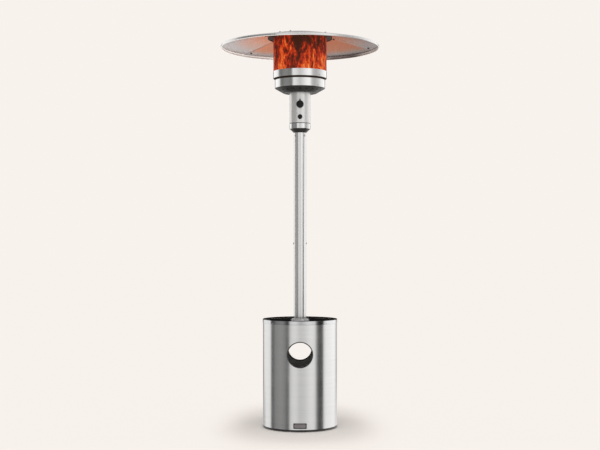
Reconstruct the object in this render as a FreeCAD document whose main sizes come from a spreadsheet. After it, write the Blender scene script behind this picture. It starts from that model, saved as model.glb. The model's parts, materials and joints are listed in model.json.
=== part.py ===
import FreeCAD, Part
import math
import os
import re
import Sketcher

# A free-standing gas patio heater: a low round base with a lift-off housing round the
# gas bottle, a post of two tubes, a control housing, a burner with a tall round screen,
# and a wide reflector of three panels and a crown.
# The origin is on the floor, on the axis of the post. +Z is up and the controls face -Y.

document = FreeCAD.newDocument("patio_heater")
sheet = document.addObject("Spreadsheet::Sheet", "Sizes")
Vector = FreeCAD.Vector

# The driving sizes, in millimetres, degrees or counts.
SIZES = [
    # Feet and base pan. The pan stands under the edge of the tank housing.
    ("foot_height", 4),
    ("foot_radius", 12),
    ("foot_inset", 25),
    ("foot_count", 4),
    ("foot_turn", 45),
    ("pan_sheet", 2),
    ("pan_step", 7.7),
    ("pan_lip", 12.3),
    ("lip_clearance", 2.8),
    ("weight_height", 25),
    ("weight_bore", 20),
    ("bottle_gap", 10),
    ("bay_height", 488),
    # Legs: flat bar bent to a foot below and an arm above.
    ("leg_count", 3),
    ("leg_width", 30),
    ("leg_sheet", 4),
    ("leg_foot_length", 14),
    ("leg_foot_gap", 1),
    ("leg_arm_end", 45),
    ("leg_bend", 6),
    # Hub plate under the post.
    ("hub_sheet", 4),
    ("hub_margin", 10),
    ("hub_bolt_ring", 58),
    # Fasteners: bolts, screws and rivets, with the room in their holes.
    ("bolt_radius", 3),
    ("bolt_head_radius", 5.5),
    ("bolt_head_height", 3),
    ("nut_radius", 5),
    ("nut_height", 3),
    ("nut_dome", 2.5),
    ("bolt_stand", 3.8),
    ("tilt_gap", 0.8),
    ("screw_radius", 2.4),
    ("screw_head_radius", 5),
    ("screw_head_height", 4.2),
    ("rivet_radius", 1.6),
    ("rivet_head_radius", 3.2),
    ("rivet_head_height", 1.4),
    ("head_crown", 0.6),
    ("head_side", 0.55),
    ("rivet_tail", 1),
    ("hole_gap", 0.2),
    ("seat_gap", 0.05),
    ("cut_overrun", 1),
    # Post.
    ("post_radius", 31.5),
    ("post_wall", 1.5),
    ("flange_radius", 75),
    ("flange_sheet", 4),
    ("lower_post_length", 405),
    ("upper_post_length", 578),
    ("spigot_length", 50),
    ("slip_gap", 0.3),
    ("post_screw_rise", 10),
    ("head_screw_drop", 15.5),
    ("head_screw_count", 4),
    ("head_screw_turn", 45),
    ("post_screw_count", 2),
    ("post_screw_reach", 4),
    # Gas inlet under the hub plate, and the pipe inside the post.
    ("inlet_thread_radius", 7.95),
    ("inlet_thread_length", 27),
    ("inlet_shoulder_radius", 13),
    ("inlet_shoulder_height", 22),
    ("inlet_neck_radius", 8),
    ("inlet_neck_rise", 17),
    ("inlet_bore", 3),
    ("pipe_socket", 15),
    ("pipe_radius", 4.75),
    ("pipe_wall", 1),
    # Wheels behind the base.
    ("wheel_radius", 55),
    ("wheel_width", 34),
    ("wheel_lift", 3),
    ("wheel_hub_radius", 16),
    ("wheel_web_radius", 38),
    ("wheel_web", 10),
    ("tyre_inset", 2),
    ("tyre_round", 5),
    ("axle_radius", 6),
    ("axle_gap", 0.3),
    ("axle_setback", 48),
    ("cap_wall", 3),
    ("cap_length", 8),
    ("bracket_half_width", 80),
    ("bracket_sheet", 3),
    ("bracket_reach", 60),
    ("bracket_bolt_spread", 50),
    ("bracket_bolt_inset", 25),
    ("ear_gap", 5),
    ("ear_margin", 12),
    ("wheel_play", 1),
    # Control head: cone, collar and housing.
    ("socket_spigot", 40),
    ("cone_height", 19),
    ("cone_radius", 52),
    ("socket_deck", 2),
    ("socket_bore", 12),
    ("socket_slant", 2.2),
    ("collar_height", 27),
    ("collar_wall", 1.5),
    ("collar_flange", 10.5),
    ("collar_proud", 0.5),
    ("housing_radius", 54),
    ("housing_wall", 1.2),
    ("housing_height", 157),
    ("tongue_length", 21),
    ("tongue_screw_drop", 13),
    ("tongue_screw_count", 2),
    ("knob_rise", 94.5),
    ("igniter_rise", 32),
    # Gas valve and knob.
    ("valve_width", 28),
    ("valve_front", 36),
    ("valve_back", 12),
    ("valve_height", 29),
    ("valve_nose_radius", 7.5),
    ("valve_nose_proud", 2),
    ("boss_radius", 8),
    ("boss_height", 8),
    ("stem_radius", 4),
    ("stem_gap", 0.3),
    ("stem_back", 24),
    ("stem_grip", 12),
    ("push_room", 8),
    ("knob_gap", 9),
    ("knob_depth", 18),
    ("knob_radius", 19),
    ("knob_tip", 28),
    ("supply_radius", 6),
    ("supply_wall", 1),
    ("supply_rise", 5),
    # Igniter.
    ("igniter_radius", 11),
    ("igniter_back", 10),
    ("igniter_proud", 2.5),
    ("bezel_radius", 12.5),
    ("bezel_height", 3),
    ("button_radius", 8),
    ("button_length", 18),
    ("button_proud", 9),
    ("press_room", 7),
    # Leads from the controls to the burner.
    ("lead_radius", 1.5),
    ("lead_bend", 15),
    ("lead_setback", 20),
    ("lead_start", 10),
    ("lead_low", 30),
    ("lead_high", 70),
    ("probe_radius", 3),
    ("probe_length", 40),
    ("lead_rise", 50),
    ("lead_drop", 3),
    ("pilot_gap", 10),
    ("pilot_width", 12),
    ("pilot_depth", 16),
    ("pilot_height", 22),
    ("tilt_width", 22),
    ("tilt_depth", 20),
    ("tilt_height", 30),
    ("tilt_setback", 14),
    # Burner dish and bands.
    ("dish_height", 25),
    ("dish_floor_radius", 85),
    ("dish_sheet", 1.3),
    ("dish_bore", 46),
    ("dish_lip", 12),
    ("dish_vent_radius", 4.5),
    ("dish_vent_count", 20),
    ("floor_vent_ring", 68),
    ("lower_band_radius", 129),
    ("lower_band_height", 42),
    ("band_sheet", 1),
    ("band_flange", 16),
    ("neck_radius", 122),
    ("neck_height", 8),
    ("deck_sheet", 1.2),
    ("deck_flange", 10),
    ("deck_lip", 11),
    ("upper_band_radius", 137.8),
    ("upper_band_height", 36),
    ("band_screw_count", 4),
    ("band_screw_turn", 45),
    ("band_screw_rise", 6),
    ("head_radius", 40),
    ("head_height", 24),
    ("head_wall", 4),
    ("head_floor", 7),
    ("cap_radius", 46),
    ("cap_edge", 3),
    ("cap_rise", 9),
    ("cap_flat", 10),
    # Emitter screen and its top plate.
    ("screen_sheet", 0.8),
    ("screen_gap", 0.2),
    ("screen_height", 206.8),
    ("top_plate_radius", 166),
    ("top_plate_sheet", 1.2),
    ("top_plate_lip", 3),
    # Reflector.
    ("standoff_count", 3),
    ("standoff_ring", 100),
    ("standoff_radius", 6),
    ("standoff_height", 12.8),
    ("reflector_sheet", 1),
    ("reflector_radius", 406.5),
    ("reflector_drop", 55),
    ("rim_height", 13),
    ("rim_sheet", 1.5),
    ("rim_bend", 5),
    ("crown_radius", 137),
    ("crown_skirt", 58),
    ("panel_count", 3),
    ("panel_start", 4),
    ("seam_turn", 15),
    ("seam_edge", 2.2),
    ("seam_gap", 0.2),
    ("seam_lap", 3),
    ("seam_root", 2),
    ("lap_inset", 9),
    ("inner_bolt_ring", 181),
    ("rim_bolt_inset", 36.5),
    # Tank housing that lifts off the base.
    ("shell_radius", 190),
    ("shell_sheet", 1.2),
    ("cover_gap", 0.3),
    ("hole_height", 373.7),
    ("hole_radius", 61),
    ("trim_width", 5),
    ("trim_sheet", 2),
    ("trim_web", 1.5),
    ("lid_room", 19.6),
    ("lid_sheet", 1.5),
    ("lid_depth", 8),
    ("lid_flange", 20),
    ("lid_bore", 42),
    ("shell_rim_height", 20),
    ("shell_rim_cap", 6.5),
    ("shell_rim_sheet", 1.45),
    ("shell_rim_inset", 2.5),
    ("shell_rim_round", 2),
    ("cover_collar_bore", 40),
    ("cover_collar_radius", 47.5),
    ("cover_collar_flange", 2.4),
    ("cover_collar_rise", 9.4),
    ("cover_collar_neck", 8),
    ("cover_collar_wall", 2.5),
    ("cover_rivet_count", 4),
    ("cover_rivet_turn", 45),
    ("cover_rivet_drop", 14.8),
    ("badge_angle", 20),
    ("badge_height", 27),
    ("badge_rise", 6),
    ("badge_sheet", 1.6),
    ("badge_border", 1.2),
    ("badge_recess", 0.6),
]

# Levels and radii that follow from the driving sizes.
PLACES = {
    "pan_top": "foot_height + pan_sheet",
    "pan_ledge": "foot_height + pan_step",
    "shell_inner": "shell_radius - shell_sheet",
    "pan_lip_radius": "shell_inner - lip_clearance",
    "foot_ring": "shell_radius - foot_inset",
    "leg_foot_end": "pan_lip_radius - pan_sheet - leg_foot_gap",
    "leg_outer": "leg_foot_end - leg_foot_length",
    "leg_inner": "leg_outer - leg_sheet",
    "foot_bolt_ring": "leg_outer + leg_bend - leg_sheet + bolt_head_radius + hole_gap",
    "weight_radius": "leg_inner - bottle_gap",
    "weight_top": "pan_top + weight_height",
    "hub_bottom": "weight_top + bay_height",
    "hub_top": "hub_bottom + hub_sheet",
    "hub_radius": "flange_radius + hub_margin",
    "flange_top": "hub_top + flange_sheet",
    "post_bore": "post_radius - post_wall",
    "spigot_radius": "post_bore - slip_gap",
    "post_joint": "flange_top + lower_post_length",
    "post_top": "post_joint + upper_post_length",
    "post_screw_level": "post_joint + post_screw_rise",
    "head_screw_level": "post_top - head_screw_drop",
    "inlet_shoulder": "hub_bottom - inlet_shoulder_height",
    "inlet_end": "inlet_shoulder - inlet_thread_length",
    "inlet_top": "hub_top + inlet_neck_rise",
    "pipe_bottom": "inlet_top - pipe_socket",
    "axle_level": "wheel_radius + wheel_lift",
    "axle_place": "shell_radius + axle_setback",
    "wheel_inner": "bracket_half_width + wheel_play",
    "wheel_outer": "wheel_inner + wheel_width",
    "axle_half": "wheel_outer + wheel_play + cap_length - cap_wall",
    "bracket_bottom": "foot_height - bracket_sheet",
    "bracket_bolt_place": "shell_radius - bracket_bolt_inset",
    "cone_top": "post_top + cone_height",
    "collar_radius": "housing_radius + collar_proud",
    "collar_inner": "collar_radius - collar_wall",
    "collar_top": "cone_top + collar_height",
    "housing_top": "collar_top + housing_height",
    "housing_inner": "housing_radius - housing_wall",
    "tongue_radius": "collar_inner - slip_gap",
    "tongue_screw_level": "collar_top - tongue_screw_drop",
    "knob_level": "collar_top + knob_rise",
    "igniter_level": "collar_top + igniter_rise",
    "valve_bottom": "knob_level - valve_height / 2",
    "valve_top": "knob_level + valve_height / 2",
    "knob_back": "housing_radius + knob_gap",
    "stem_front": "knob_back + stem_grip",
    "igniter_front": "housing_radius + igniter_proud",
    "button_front": "housing_radius + button_proud",
    "button_back": "button_front - button_length",
    "dish_top": "housing_top + dish_height",
    "dish_lip_radius": "lower_band_radius - band_sheet - slip_gap",
    "lower_band_top": "dish_top + lower_band_height",
    "deck_level": "lower_band_top + neck_height",
    "deck_top": "deck_level + deck_sheet",
    "upper_band_inner": "upper_band_radius - band_sheet",
    "screen_radius": "upper_band_inner - screen_gap",
    "screen_inner": "screen_radius - screen_sheet",
    "deck_lip_radius": "screen_inner - slip_gap",
    "screen_top": "deck_top + screen_height",
    "top_plate_top": "screen_top + top_plate_sheet",
    "crown_under": "top_plate_top + standoff_height",
    "crown_top": "crown_under + reflector_sheet",
    "rim_top": "crown_top - reflector_drop",
    "rim_bottom": "rim_top - rim_height",
    "reflector_fall": "(crown_under - rim_top) / (reflector_radius - crown_radius)",
    "skirt_radius": "crown_radius + crown_skirt",
    "panel_inner": "crown_radius + panel_start",
    "lap_outer": "reflector_radius - lap_inset",
    "rim_bolt_ring": "reflector_radius - rim_bolt_inset",
    "lid_top": "flange_top + lid_room",
    "lid_under": "lid_top - lid_sheet",
    "cover_rim_top": "lid_top + lid_depth",
    "shell_top": "cover_rim_top - shell_rim_cap",
    "shell_bottom": "pan_ledge + cover_gap",
    "shell_rim_inner": "shell_radius + seat_gap",
    "shell_rim_radius": "shell_rim_inner + shell_rim_sheet",
    "shell_rim_bottom": "cover_rim_top - shell_rim_height",
    "lid_flange_radius": "shell_inner - slip_gap",
    "cover_rivet_level": "cover_rim_top - cover_rivet_drop",
    "hole_level": "shell_bottom + hole_height",
    "badge_inner": "shell_radius + seat_gap",
    "badge_bottom": "shell_bottom + badge_rise",
}

sub_parts = []


def full(expression):
    """The expression with each name replaced by its cell or by what it stands for."""
    def swap(match):
        word = match.group(0)
        if word in PLACES:
            return "(" + full(PLACES[word]) + ")"
        return "Sizes." + word if word in ALIASES else word
    return re.sub(r"[A-Za-z_][A-Za-z_0-9]*", swap, expression)


def value(expression):
    """The number that an expression gives now."""
    result = sheet.evalExpression(full(expression))
    return float(getattr(result, "Value", result))


def bind(item, **properties):
    """Tie properties to expressions. Two underscores stand for a dot."""
    for name, expression in properties.items():
        item.setExpression(name.replace("__", "."), full(expression))


def fill_sheet():
    for row, (alias, number) in enumerate(SIZES, 1):
        cell = "A%d" % row
        sheet.set(cell, str(number))
        sheet.setAlias(cell, alias)
    document.recompute()


ALIASES = {alias for alias, number in SIZES}


def new_body(label):
    body = document.addObject("PartDesign::Body", label)
    sub_parts.append(body)
    return body


def origin_item(body, role):
    return next(item for item in body.Origin.OriginFeatures if item.Role == role)


def attach(item, body, plane, across="0", up="0", out="0", turn="0", swing="0"):
    """Put a sketch or a primitive on an origin plane of its body, shifted and turned.

    turn is about the plane's normal, swing about its upright axis."""
    item.AttachmentSupport = [(origin_item(body, plane), "")]
    item.MapMode = "FlatFace"
    axis, angle = (Vector(0, 1, 0), swing) if swing != "0" else (Vector(0, 0, 1), turn)
    item.AttachmentOffset = FreeCAD.Placement(
        Vector(value(across), value(up), value(out)), FreeCAD.Rotation(axis, value(angle)))
    bind(item, AttachmentOffset__Base__x=across, AttachmentOffset__Base__y=up,
         AttachmentOffset__Base__z=out)
    if angle != "0":
        bind(item, AttachmentOffset__Rotation__Angle=angle)


def outline(body, name, corners, plane="XZ_Plane", **place):
    """A closed outline of straight lines, each corner tied to the sheet."""
    sketch = body.newObject("Sketcher::SketchObject", name)
    attach(sketch, body, plane, **place)
    points = [Vector(value(x), value(y), 0) for x, y in corners]
    count = len(points)
    for number, point in enumerate(points):
        sketch.addGeometry(Part.LineSegment(point, points[(number + 1) % count]), False)
    for number in range(count):
        sketch.addConstraint(Sketcher.Constraint("Coincident", number, 2, (number + 1) % count, 1))
    for number, (point, corner) in enumerate(zip(points, corners)):
        for kind, start, expression in (("DistanceX", point.x, corner[0]), ("DistanceY", point.y, corner[1])):
            index = sketch.addConstraint(Sketcher.Constraint(kind, -1, 1, number, 1, start))
            sketch.setExpression("Constraints[%d]" % index, full(expression))
    return sketch


def revolve(body, sketch, axis="V_Axis", angle=None, kind="Revolution"):
    """Turn a sketch about one of its axes, all the way round or by an angle about its plane."""
    feature = body.newObject("PartDesign::" + kind, sketch.Name + "_turned")
    feature.Profile = sketch
    feature.ReferenceAxis = (sketch, [axis])
    feature.Angle = 360
    if angle:
        feature.Midplane = True
        bind(feature, Angle=angle)
    body.Tip = feature
    document.recompute()
    return feature


def pad(body, sketch, length, symmetric=False):
    feature = body.newObject("PartDesign::Pad", sketch.Name + "_pad")
    feature.Profile = sketch
    feature.Midplane = symmetric
    bind(feature, Length=length)
    body.Tip = feature
    document.recompute()
    return feature


def rod(body, name, plane, radius, length, cut=False, **place):
    """A cylinder added to a body, or cut from it, along a plane's normal."""
    kind = "SubtractiveCylinder" if cut else "AdditiveCylinder"
    feature = body.newObject("PartDesign::" + kind, name)
    attach(feature, body, plane, **place)
    bind(feature, Radius=radius, Height=length)
    body.Tip = feature
    document.recompute()
    if cut:
        before = feature.BaseFeature.Shape.Volume
        if feature.Shape.Volume >= before:
            raise ValueError(name + " cuts nothing")
    return feature


def ring(body, feature, count):
    """Repeat a feature round the body's Z axis."""
    pattern = body.newObject("PartDesign::PolarPattern", feature.Name + "_ring")
    pattern.Originals = [feature]
    pattern.Axis = (origin_item(body, "Z_Axis"), [""])
    pattern.Angle = 360
    bind(pattern, Occurrences=count)
    body.Tip = pattern
    document.recompute()
    return pattern


def round_edges(body, base, radius, spots, about_axis=True):
    """Round the edges of a turned or padded feature that pass through the given outline corners."""
    corners = [(value(x), value(y)) for x, y in spots]
    names = []
    for number, edge in enumerate(base.Shape.Edges, 1):
        ends = [vertex.Point for vertex in edge.Vertexes]
        places = [(math.hypot(p.x, p.y) if about_axis else p.x, p.z) for p in ends]
        for corner in corners:
            if all(math.dist(place, corner) < 0.01 for place in places):
                names.append("Edge%d" % number)
    feature = body.newObject("PartDesign::Fillet", base.Name + "_rounded")
    feature.Base = (base, names)
    bind(feature, Radius=radius)
    body.Tip = feature
    document.recompute()
    return feature


def turned(label, corners):
    """A sub-part that is one outline turned about the Z axis. Corners are radius and level."""
    body = new_body(label)
    revolve(body, outline(body, label + "_outline", corners))
    return body


def turn_body(body, angle):
    """Turn a whole sub-part about the Z axis."""
    body.Placement = FreeCAD.Placement(Vector(), FreeCAD.Rotation(Vector(0, 0, 1), value(angle)))
    bind(body, Placement__Rotation__Angle=angle)


def lay_along_x(body, place, level):
    """Lay a sub-part that was turned about Z along the X axis, at a place and level behind the post."""
    body.Placement = FreeCAD.Placement(Vector(), FreeCAD.Rotation(Vector(0, 1, 0), 90))
    bind(body, Placement__Base__y=place, Placement__Base__z=level)


def face_forward(body, level):
    """Point a sub-part that was turned about Z towards -Y, at a level on the post's axis."""
    body.Placement = FreeCAD.Placement(Vector(), FreeCAD.Rotation(Vector(1, 0, 0), 90))
    bind(body, Placement__Base__z=level)


def fastener(body, name, kind, across, up, reach, lying=False, headed_down=False, **place):
    """A bolt, screw or rivet whose head sits at a point and whose shank runs on by reach.

    It lies along X with its head outwards, or stands with its head up or down."""
    head, height, shank = kind + "_head_radius", kind + "_head_height", kind + "_radius"
    sign = "-1" if headed_down else "1"
    steps = [("-(%s)" % reach, "0"), (height, "0"), (height, head + " * head_crown"),
             (height + " * head_side", head), ("0", head), ("0", shank), ("-(%s)" % reach, shank)]
    along = ["%s * (%s)" % (sign, step) for step, radius in steps]
    corners = [(a, r) if lying else (r, a) for a, (step, r) in zip(along, steps)]
    sketch = outline(body, name, corners, across=across, up=up, **place)
    return revolve(body, sketch, "H_Axis" if lying else "V_Axis")


def domed_nut(body, name, across, up, grip="0", turn="0"):
    """A closed nut over a bolt that stands bolt_stand above its seat, grip from the given point."""
    inner = "bolt_radius + hole_gap"
    steps = [(inner, "0"), ("nut_radius", "0"), ("nut_radius", "nut_height"),
             ("nut_radius * head_crown", "nut_height + nut_dome"), ("0", "nut_height + nut_dome"),
             ("0", "bolt_stand + hole_gap"), (inner, "bolt_stand + hole_gap")]
    corners = [(radius, "%s + %s" % (grip, step)) for radius, step in steps]
    return revolve(body, outline(body, name, corners, across=across, up=up, turn=turn))


def hole_down(body, name, across, up, bottom, depth, radius="bolt_radius + hole_gap"):
    """An upright hole at a place on the plan, from a level up, with an overrun at both ends."""
    return rod(body, name, "XY_Plane", radius, depth + " + cut_overrun * 2", cut=True, across=across, up=up,
               out=bottom + " - cut_overrun")


def holes_round(body, name, kind, level, reach, count, swing="0"):
    """Fastener holes through a round wall, from the axis out, on a ring at one level."""
    hole = rod(body, name, "YZ_Plane", kind + "_radius + hole_gap", reach + " + cut_overrun", cut=True,
               up=level,
               swing=swing)
    return ring(body, hole, count)


def cylinder(name, radius, length, start, forward=False, level="0"):
    """A plain cylinder on the Z axis from a level up, or along -Y from a distance in front."""
    item = document.addObject("Part::Cylinder", name)
    bind(item, Radius=radius, Height=length)
    if forward:
        item.Placement = FreeCAD.Placement(Vector(), FreeCAD.Rotation(Vector(1, 0, 0), 90))
        bind(item, Placement__Base__y="-(%s)" % start, Placement__Base__z=level)
    else:
        bind(item, Placement__Base__z=start)
    return item


def combine(kind, name, base, tool):
    item = document.addObject("Part::" + kind, name)
    item.Base = base
    item.Tool = tool
    document.recompute()
    return item


def foot_pads():
    body = new_body("foot_pads")
    corners = [("0", "0"), ("foot_radius", "0"), ("foot_radius", "foot_height"), ("0", "foot_height")]
    ring(body, revolve(body, outline(body, "pad_outline", corners, across="foot_ring")), "foot_count")
    turn_body(body, "foot_turn")


def base_pan():
    """A pressed pan: a floor, a step that the housing stands on and a lip inside it."""
    body = turned("base_pan", [
        ("0", "foot_height"), ("shell_radius", "foot_height"), ("shell_radius", "pan_ledge"),
        ("pan_lip_radius", "pan_ledge"), ("pan_lip_radius", "pan_ledge + pan_lip"),
        ("pan_lip_radius - pan_sheet", "pan_ledge + pan_lip"),
        ("pan_lip_radius - pan_sheet", "pan_ledge - pan_sheet"),
        ("shell_radius - pan_sheet", "pan_ledge - pan_sheet"), ("shell_radius - pan_sheet", "pan_top"),
        ("0", "pan_top")])
    foot_hole = hole_down(body, "foot_hole", "foot_bolt_ring", "0", "foot_height", "pan_sheet")
    ring(body, foot_hole, "leg_count")
    for side in ("", "-"):
        hole_down(body, "bracket_hole", side + "bracket_bolt_spread", "bracket_bolt_place",
                  "foot_height", "pan_sheet")


def base_weight():
    turned("base_weight", [
        ("weight_bore", "pan_top"), ("weight_radius", "pan_top"), ("weight_radius", "weight_top"),
        ("weight_bore", "weight_top")])


def legs():
    names = ["leg_right", "leg_rear_left", "leg_front_left"]
    for number, label in enumerate(names):
        body = new_body(label)
        corners = [
            ("leg_inner", "pan_top"), ("leg_foot_end", "pan_top"), ("leg_foot_end", "pan_top + leg_sheet"),
            ("leg_outer", "pan_top + leg_sheet"), ("leg_outer", "hub_bottom"), ("leg_arm_end", "hub_bottom"),
            ("leg_arm_end", "hub_bottom - leg_sheet"), ("leg_inner", "hub_bottom - leg_sheet")]
        bar = pad(body, outline(body, label + "_outline", corners), "leg_width", symmetric=True)
        outer_bends = [corners[0], corners[4]]
        inner_bends = [corners[3], corners[7]]
        bar = round_edges(body, bar, "leg_bend", outer_bends, about_axis=False)
        round_edges(body, bar, "leg_bend - leg_sheet", inner_bends, about_axis=False)
        hole_down(body, label + "_foot_hole", "foot_bolt_ring", "0", "pan_top", "leg_sheet")
        hole_down(body, label + "_arm_hole", "hub_bolt_ring", "0", "hub_bottom - leg_sheet", "leg_sheet")
        turn_body(body, "%d * 360 / leg_count" % number)


def leg_bolts():
    body = new_body("leg_bolts")
    bolt = fastener(body, "leg_bolt", "bolt", "foot_bolt_ring", "pan_top + leg_sheet",
                    "leg_sheet + pan_sheet")
    ring(body, bolt, "leg_count")


def hub_plate():
    bore = "inlet_neck_radius + hole_gap"
    body = turned("hub_plate", [
        (bore, "hub_bottom"), ("hub_radius", "hub_bottom"), ("hub_radius", "hub_top"), (bore, "hub_top")])
    ring(body, hole_down(body, "hub_hole", "hub_bolt_ring", "0", "hub_bottom", "hub_sheet"), "leg_count")


def hub_bolts():
    """Bolts up through the arms of the legs, the hub plate and the flange of the post."""
    body = new_body("hub_bolts")
    bolt = fastener(body, "hub_bolt", "bolt", "hub_bolt_ring", "hub_bottom - leg_sheet",
                    "leg_sheet + hub_sheet + flange_sheet + bolt_stand", headed_down=True)
    ring(body, bolt, "leg_count")
    ring(body, domed_nut(body, "hub_nut", "hub_bolt_ring", "flange_top"), "leg_count")


def lower_post():
    """A tube welded to a flange, its upper end drawn in to fit the upper tube."""
    spigot_top = "post_joint + spigot_length"
    body = turned("lower_post", [
        ("post_bore", "hub_top"), ("flange_radius", "hub_top"), ("flange_radius", "flange_top"),
        ("post_radius", "flange_top"), ("post_radius", "post_joint"), ("spigot_radius", "post_joint"),
        ("spigot_radius", spigot_top), ("spigot_radius - post_wall", spigot_top),
        ("spigot_radius - post_wall", "post_joint - post_wall * 2"),
        ("post_bore", "post_joint - post_wall * 2")])
    flange_hole = hole_down(body, "flange_hole", "hub_bolt_ring", "0", "hub_top", "flange_sheet")
    ring(body, flange_hole, "leg_count")
    holes_round(body, "spigot_hole", "screw", "post_screw_level", "post_radius", "post_screw_count")


def upper_post():
    body = turned("upper_post", [
        ("post_bore", "post_joint"), ("post_radius", "post_joint"), ("post_radius", "post_top"),
        ("post_bore", "post_top")])
    holes_round(body, "joint_hole", "screw", "post_screw_level", "post_radius", "post_screw_count")
    holes_round(body, "head_hole", "screw", "head_screw_level", "post_radius", "head_screw_count",
                swing="head_screw_turn")


def post_screws():
    body = new_body("post_screws")
    screw = fastener(body, "post_screw", "screw", "post_radius", "post_screw_level", "post_screw_reach",
                     lying=True)
    ring(body, screw, "post_screw_count")


def head_screws():
    body = new_body("head_screws")
    screw = fastener(body, "head_screw", "screw", "post_radius", "head_screw_level", "post_screw_reach",
                     lying=True)
    ring(body, screw, "head_screw_count")
    turn_body(body, "head_screw_turn")


def gas_inlet_fitting():
    """A fitting held in the hub plate: a thread below for the hose, a socket above for the pipe."""
    turned("gas_inlet_fitting", [
        ("inlet_bore", "inlet_end"), ("inlet_thread_radius", "inlet_end"),
        ("inlet_thread_radius", "inlet_shoulder"), ("inlet_shoulder_radius", "inlet_shoulder"),
        ("inlet_shoulder_radius", "hub_bottom"), ("inlet_neck_radius", "hub_bottom"),
        ("inlet_neck_radius", "inlet_top"), ("pipe_radius + hole_gap", "inlet_top"),
        ("pipe_radius + hole_gap", "pipe_bottom"), ("inlet_bore", "pipe_bottom")])


def gas_feed_pipe():
    pipe_top = "valve_bottom - boss_height"
    turned("gas_feed_pipe", [
        ("pipe_radius - pipe_wall", "pipe_bottom"), ("pipe_radius", "pipe_bottom"),
        ("pipe_radius", pipe_top), ("pipe_radius - pipe_wall", pipe_top)])


def wheel_bracket():
    """A plate under the rear of the pan, with two upright ears that hold the axle."""
    body = new_body("wheel_bracket")
    ear_front = "shell_radius + ear_gap"
    ear_back = "axle_place + ear_margin"
    plate_back = "axle_place - ear_margin"
    plate = [("-bracket_half_width", "shell_radius - bracket_reach"),
             ("bracket_half_width", "shell_radius - bracket_reach"),
             ("bracket_half_width", plate_back), ("-bracket_half_width", plate_back)]
    pad(body, outline(body, "bracket_plate", plate, "XY_Plane", out="bracket_bottom"), "bracket_sheet")
    ear = [(ear_front, "bracket_bottom"), (plate_back, "bracket_bottom"),
           (ear_back, "axle_level - ear_margin"), (ear_back, "axle_level + ear_margin"),
           (plate_back, "axle_level + ear_margin"), (ear_front, "axle_level - ear_margin * 2")]
    for name, place in (("ear_right", "bracket_half_width - bracket_sheet"),
                        ("ear_left", "-bracket_half_width")):
        pad(body, outline(body, name, ear, "YZ_Plane", out=place), "bracket_sheet")
    rod(body, "axle_hole", "YZ_Plane", "axle_radius + hole_gap", "(bracket_half_width + cut_overrun) * 2",
        cut=True, across="axle_place", up="axle_level", out="-bracket_half_width - cut_overrun")
    for side in ("", "-"):
        hole_down(body, "plate_hole", side + "bracket_bolt_spread", "bracket_bolt_place",
                  "bracket_bottom", "bracket_sheet")


def bracket_bolts():
    body = new_body("bracket_bolts")
    for side in ("", "-"):
        fastener(body, "bracket_bolt", "bolt", side + "bracket_bolt_spread", "pan_top",
                 "pan_sheet + bracket_sheet", out="-bracket_bolt_place")


def wheel_axle():
    body = turned("wheel_axle", [
        ("0", "-axle_half"), ("axle_radius", "-axle_half"), ("axle_radius", "axle_half"), ("0", "axle_half")])
    lay_along_x(body, "axle_place", "axle_level")


def axle_caps():
    """A push-on cap over each end of the axle."""
    body = new_body("axle_caps")
    start = "wheel_outer + wheel_play"
    inner = "axle_radius + seat_gap"
    outer = "axle_radius + cap_wall"
    end = start + " + cap_length"
    for side, name in (("", "cap_right"), ("-", "cap_left")):
        steps = [(inner, start), (outer, start), (outer, end), ("0", end), ("0", "axle_half"),
                 (inner, "axle_half")]
        revolve(body, outline(body, name, [(radius, "%s(%s)" % (side, place)) for radius, place in steps]))
    lay_along_x(body, "axle_place", "axle_level")


def wheels():
    """Two wheels, each one turned outline: hub, thin web and tyre."""
    middle = "(wheel_inner + wheel_outer) / 2"
    tyre_in = "wheel_inner + tyre_inset"
    tyre_out = "wheel_outer - tyre_inset"
    for side, label in (("", "wheel_right"), ("-", "wheel_left")):
        bore = "axle_radius + axle_gap"
        steps = [
            (bore, "wheel_inner"), ("wheel_hub_radius", "wheel_inner"),
            ("wheel_hub_radius", middle + " - wheel_web / 2"),
            ("wheel_web_radius", middle + " - wheel_web / 2"),
            ("wheel_web_radius", tyre_in), ("wheel_radius - tyre_round", tyre_in),
            ("wheel_radius", tyre_in + " + tyre_round"), ("wheel_radius", tyre_out + " - tyre_round"),
            ("wheel_radius - tyre_round", tyre_out), ("wheel_web_radius", tyre_out),
            ("wheel_web_radius", middle + " + wheel_web / 2"),
            ("wheel_hub_radius", middle + " + wheel_web / 2"),
            ("wheel_hub_radius", "wheel_outer"), (bore, "wheel_outer")]
        body = turned(label, [(radius, "%s(%s)" % (side, place)) for radius, place in steps])
        lay_along_x(body, "axle_place", "axle_level")


def head_socket():
    """The cone that widens from the post to the control housing, on a spigot inside the post."""
    inner = "spigot_radius - post_wall"
    deck_under = "cone_top - socket_deck"
    deck_edge = "cone_radius - socket_slant - (cone_radius - post_radius) / cone_height * socket_deck"
    body = turned("head_socket", [
        (inner, "post_top - socket_spigot"), ("spigot_radius", "post_top - socket_spigot"),
        ("spigot_radius", "post_top"), ("post_radius", "post_top"), ("cone_radius", "cone_top"),
        ("socket_bore", "cone_top"), ("socket_bore", deck_under), (deck_edge, deck_under),
        (inner, "post_top")])
    holes_round(body, "spigot_hole", "screw", "head_screw_level", "post_radius", "head_screw_count",
                swing="head_screw_turn")


def housing_collar():
    inner = "collar_radius - collar_flange"
    body = turned("housing_collar", [
        (inner, "cone_top"), ("collar_radius", "cone_top"), ("collar_radius", "collar_top"),
        ("collar_inner", "collar_top"), ("collar_inner", "cone_top + collar_wall"),
        (inner, "cone_top + collar_wall")])
    holes_round(body, "collar_hole", "rivet", "tongue_screw_level", "collar_radius", "tongue_screw_count")


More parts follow.
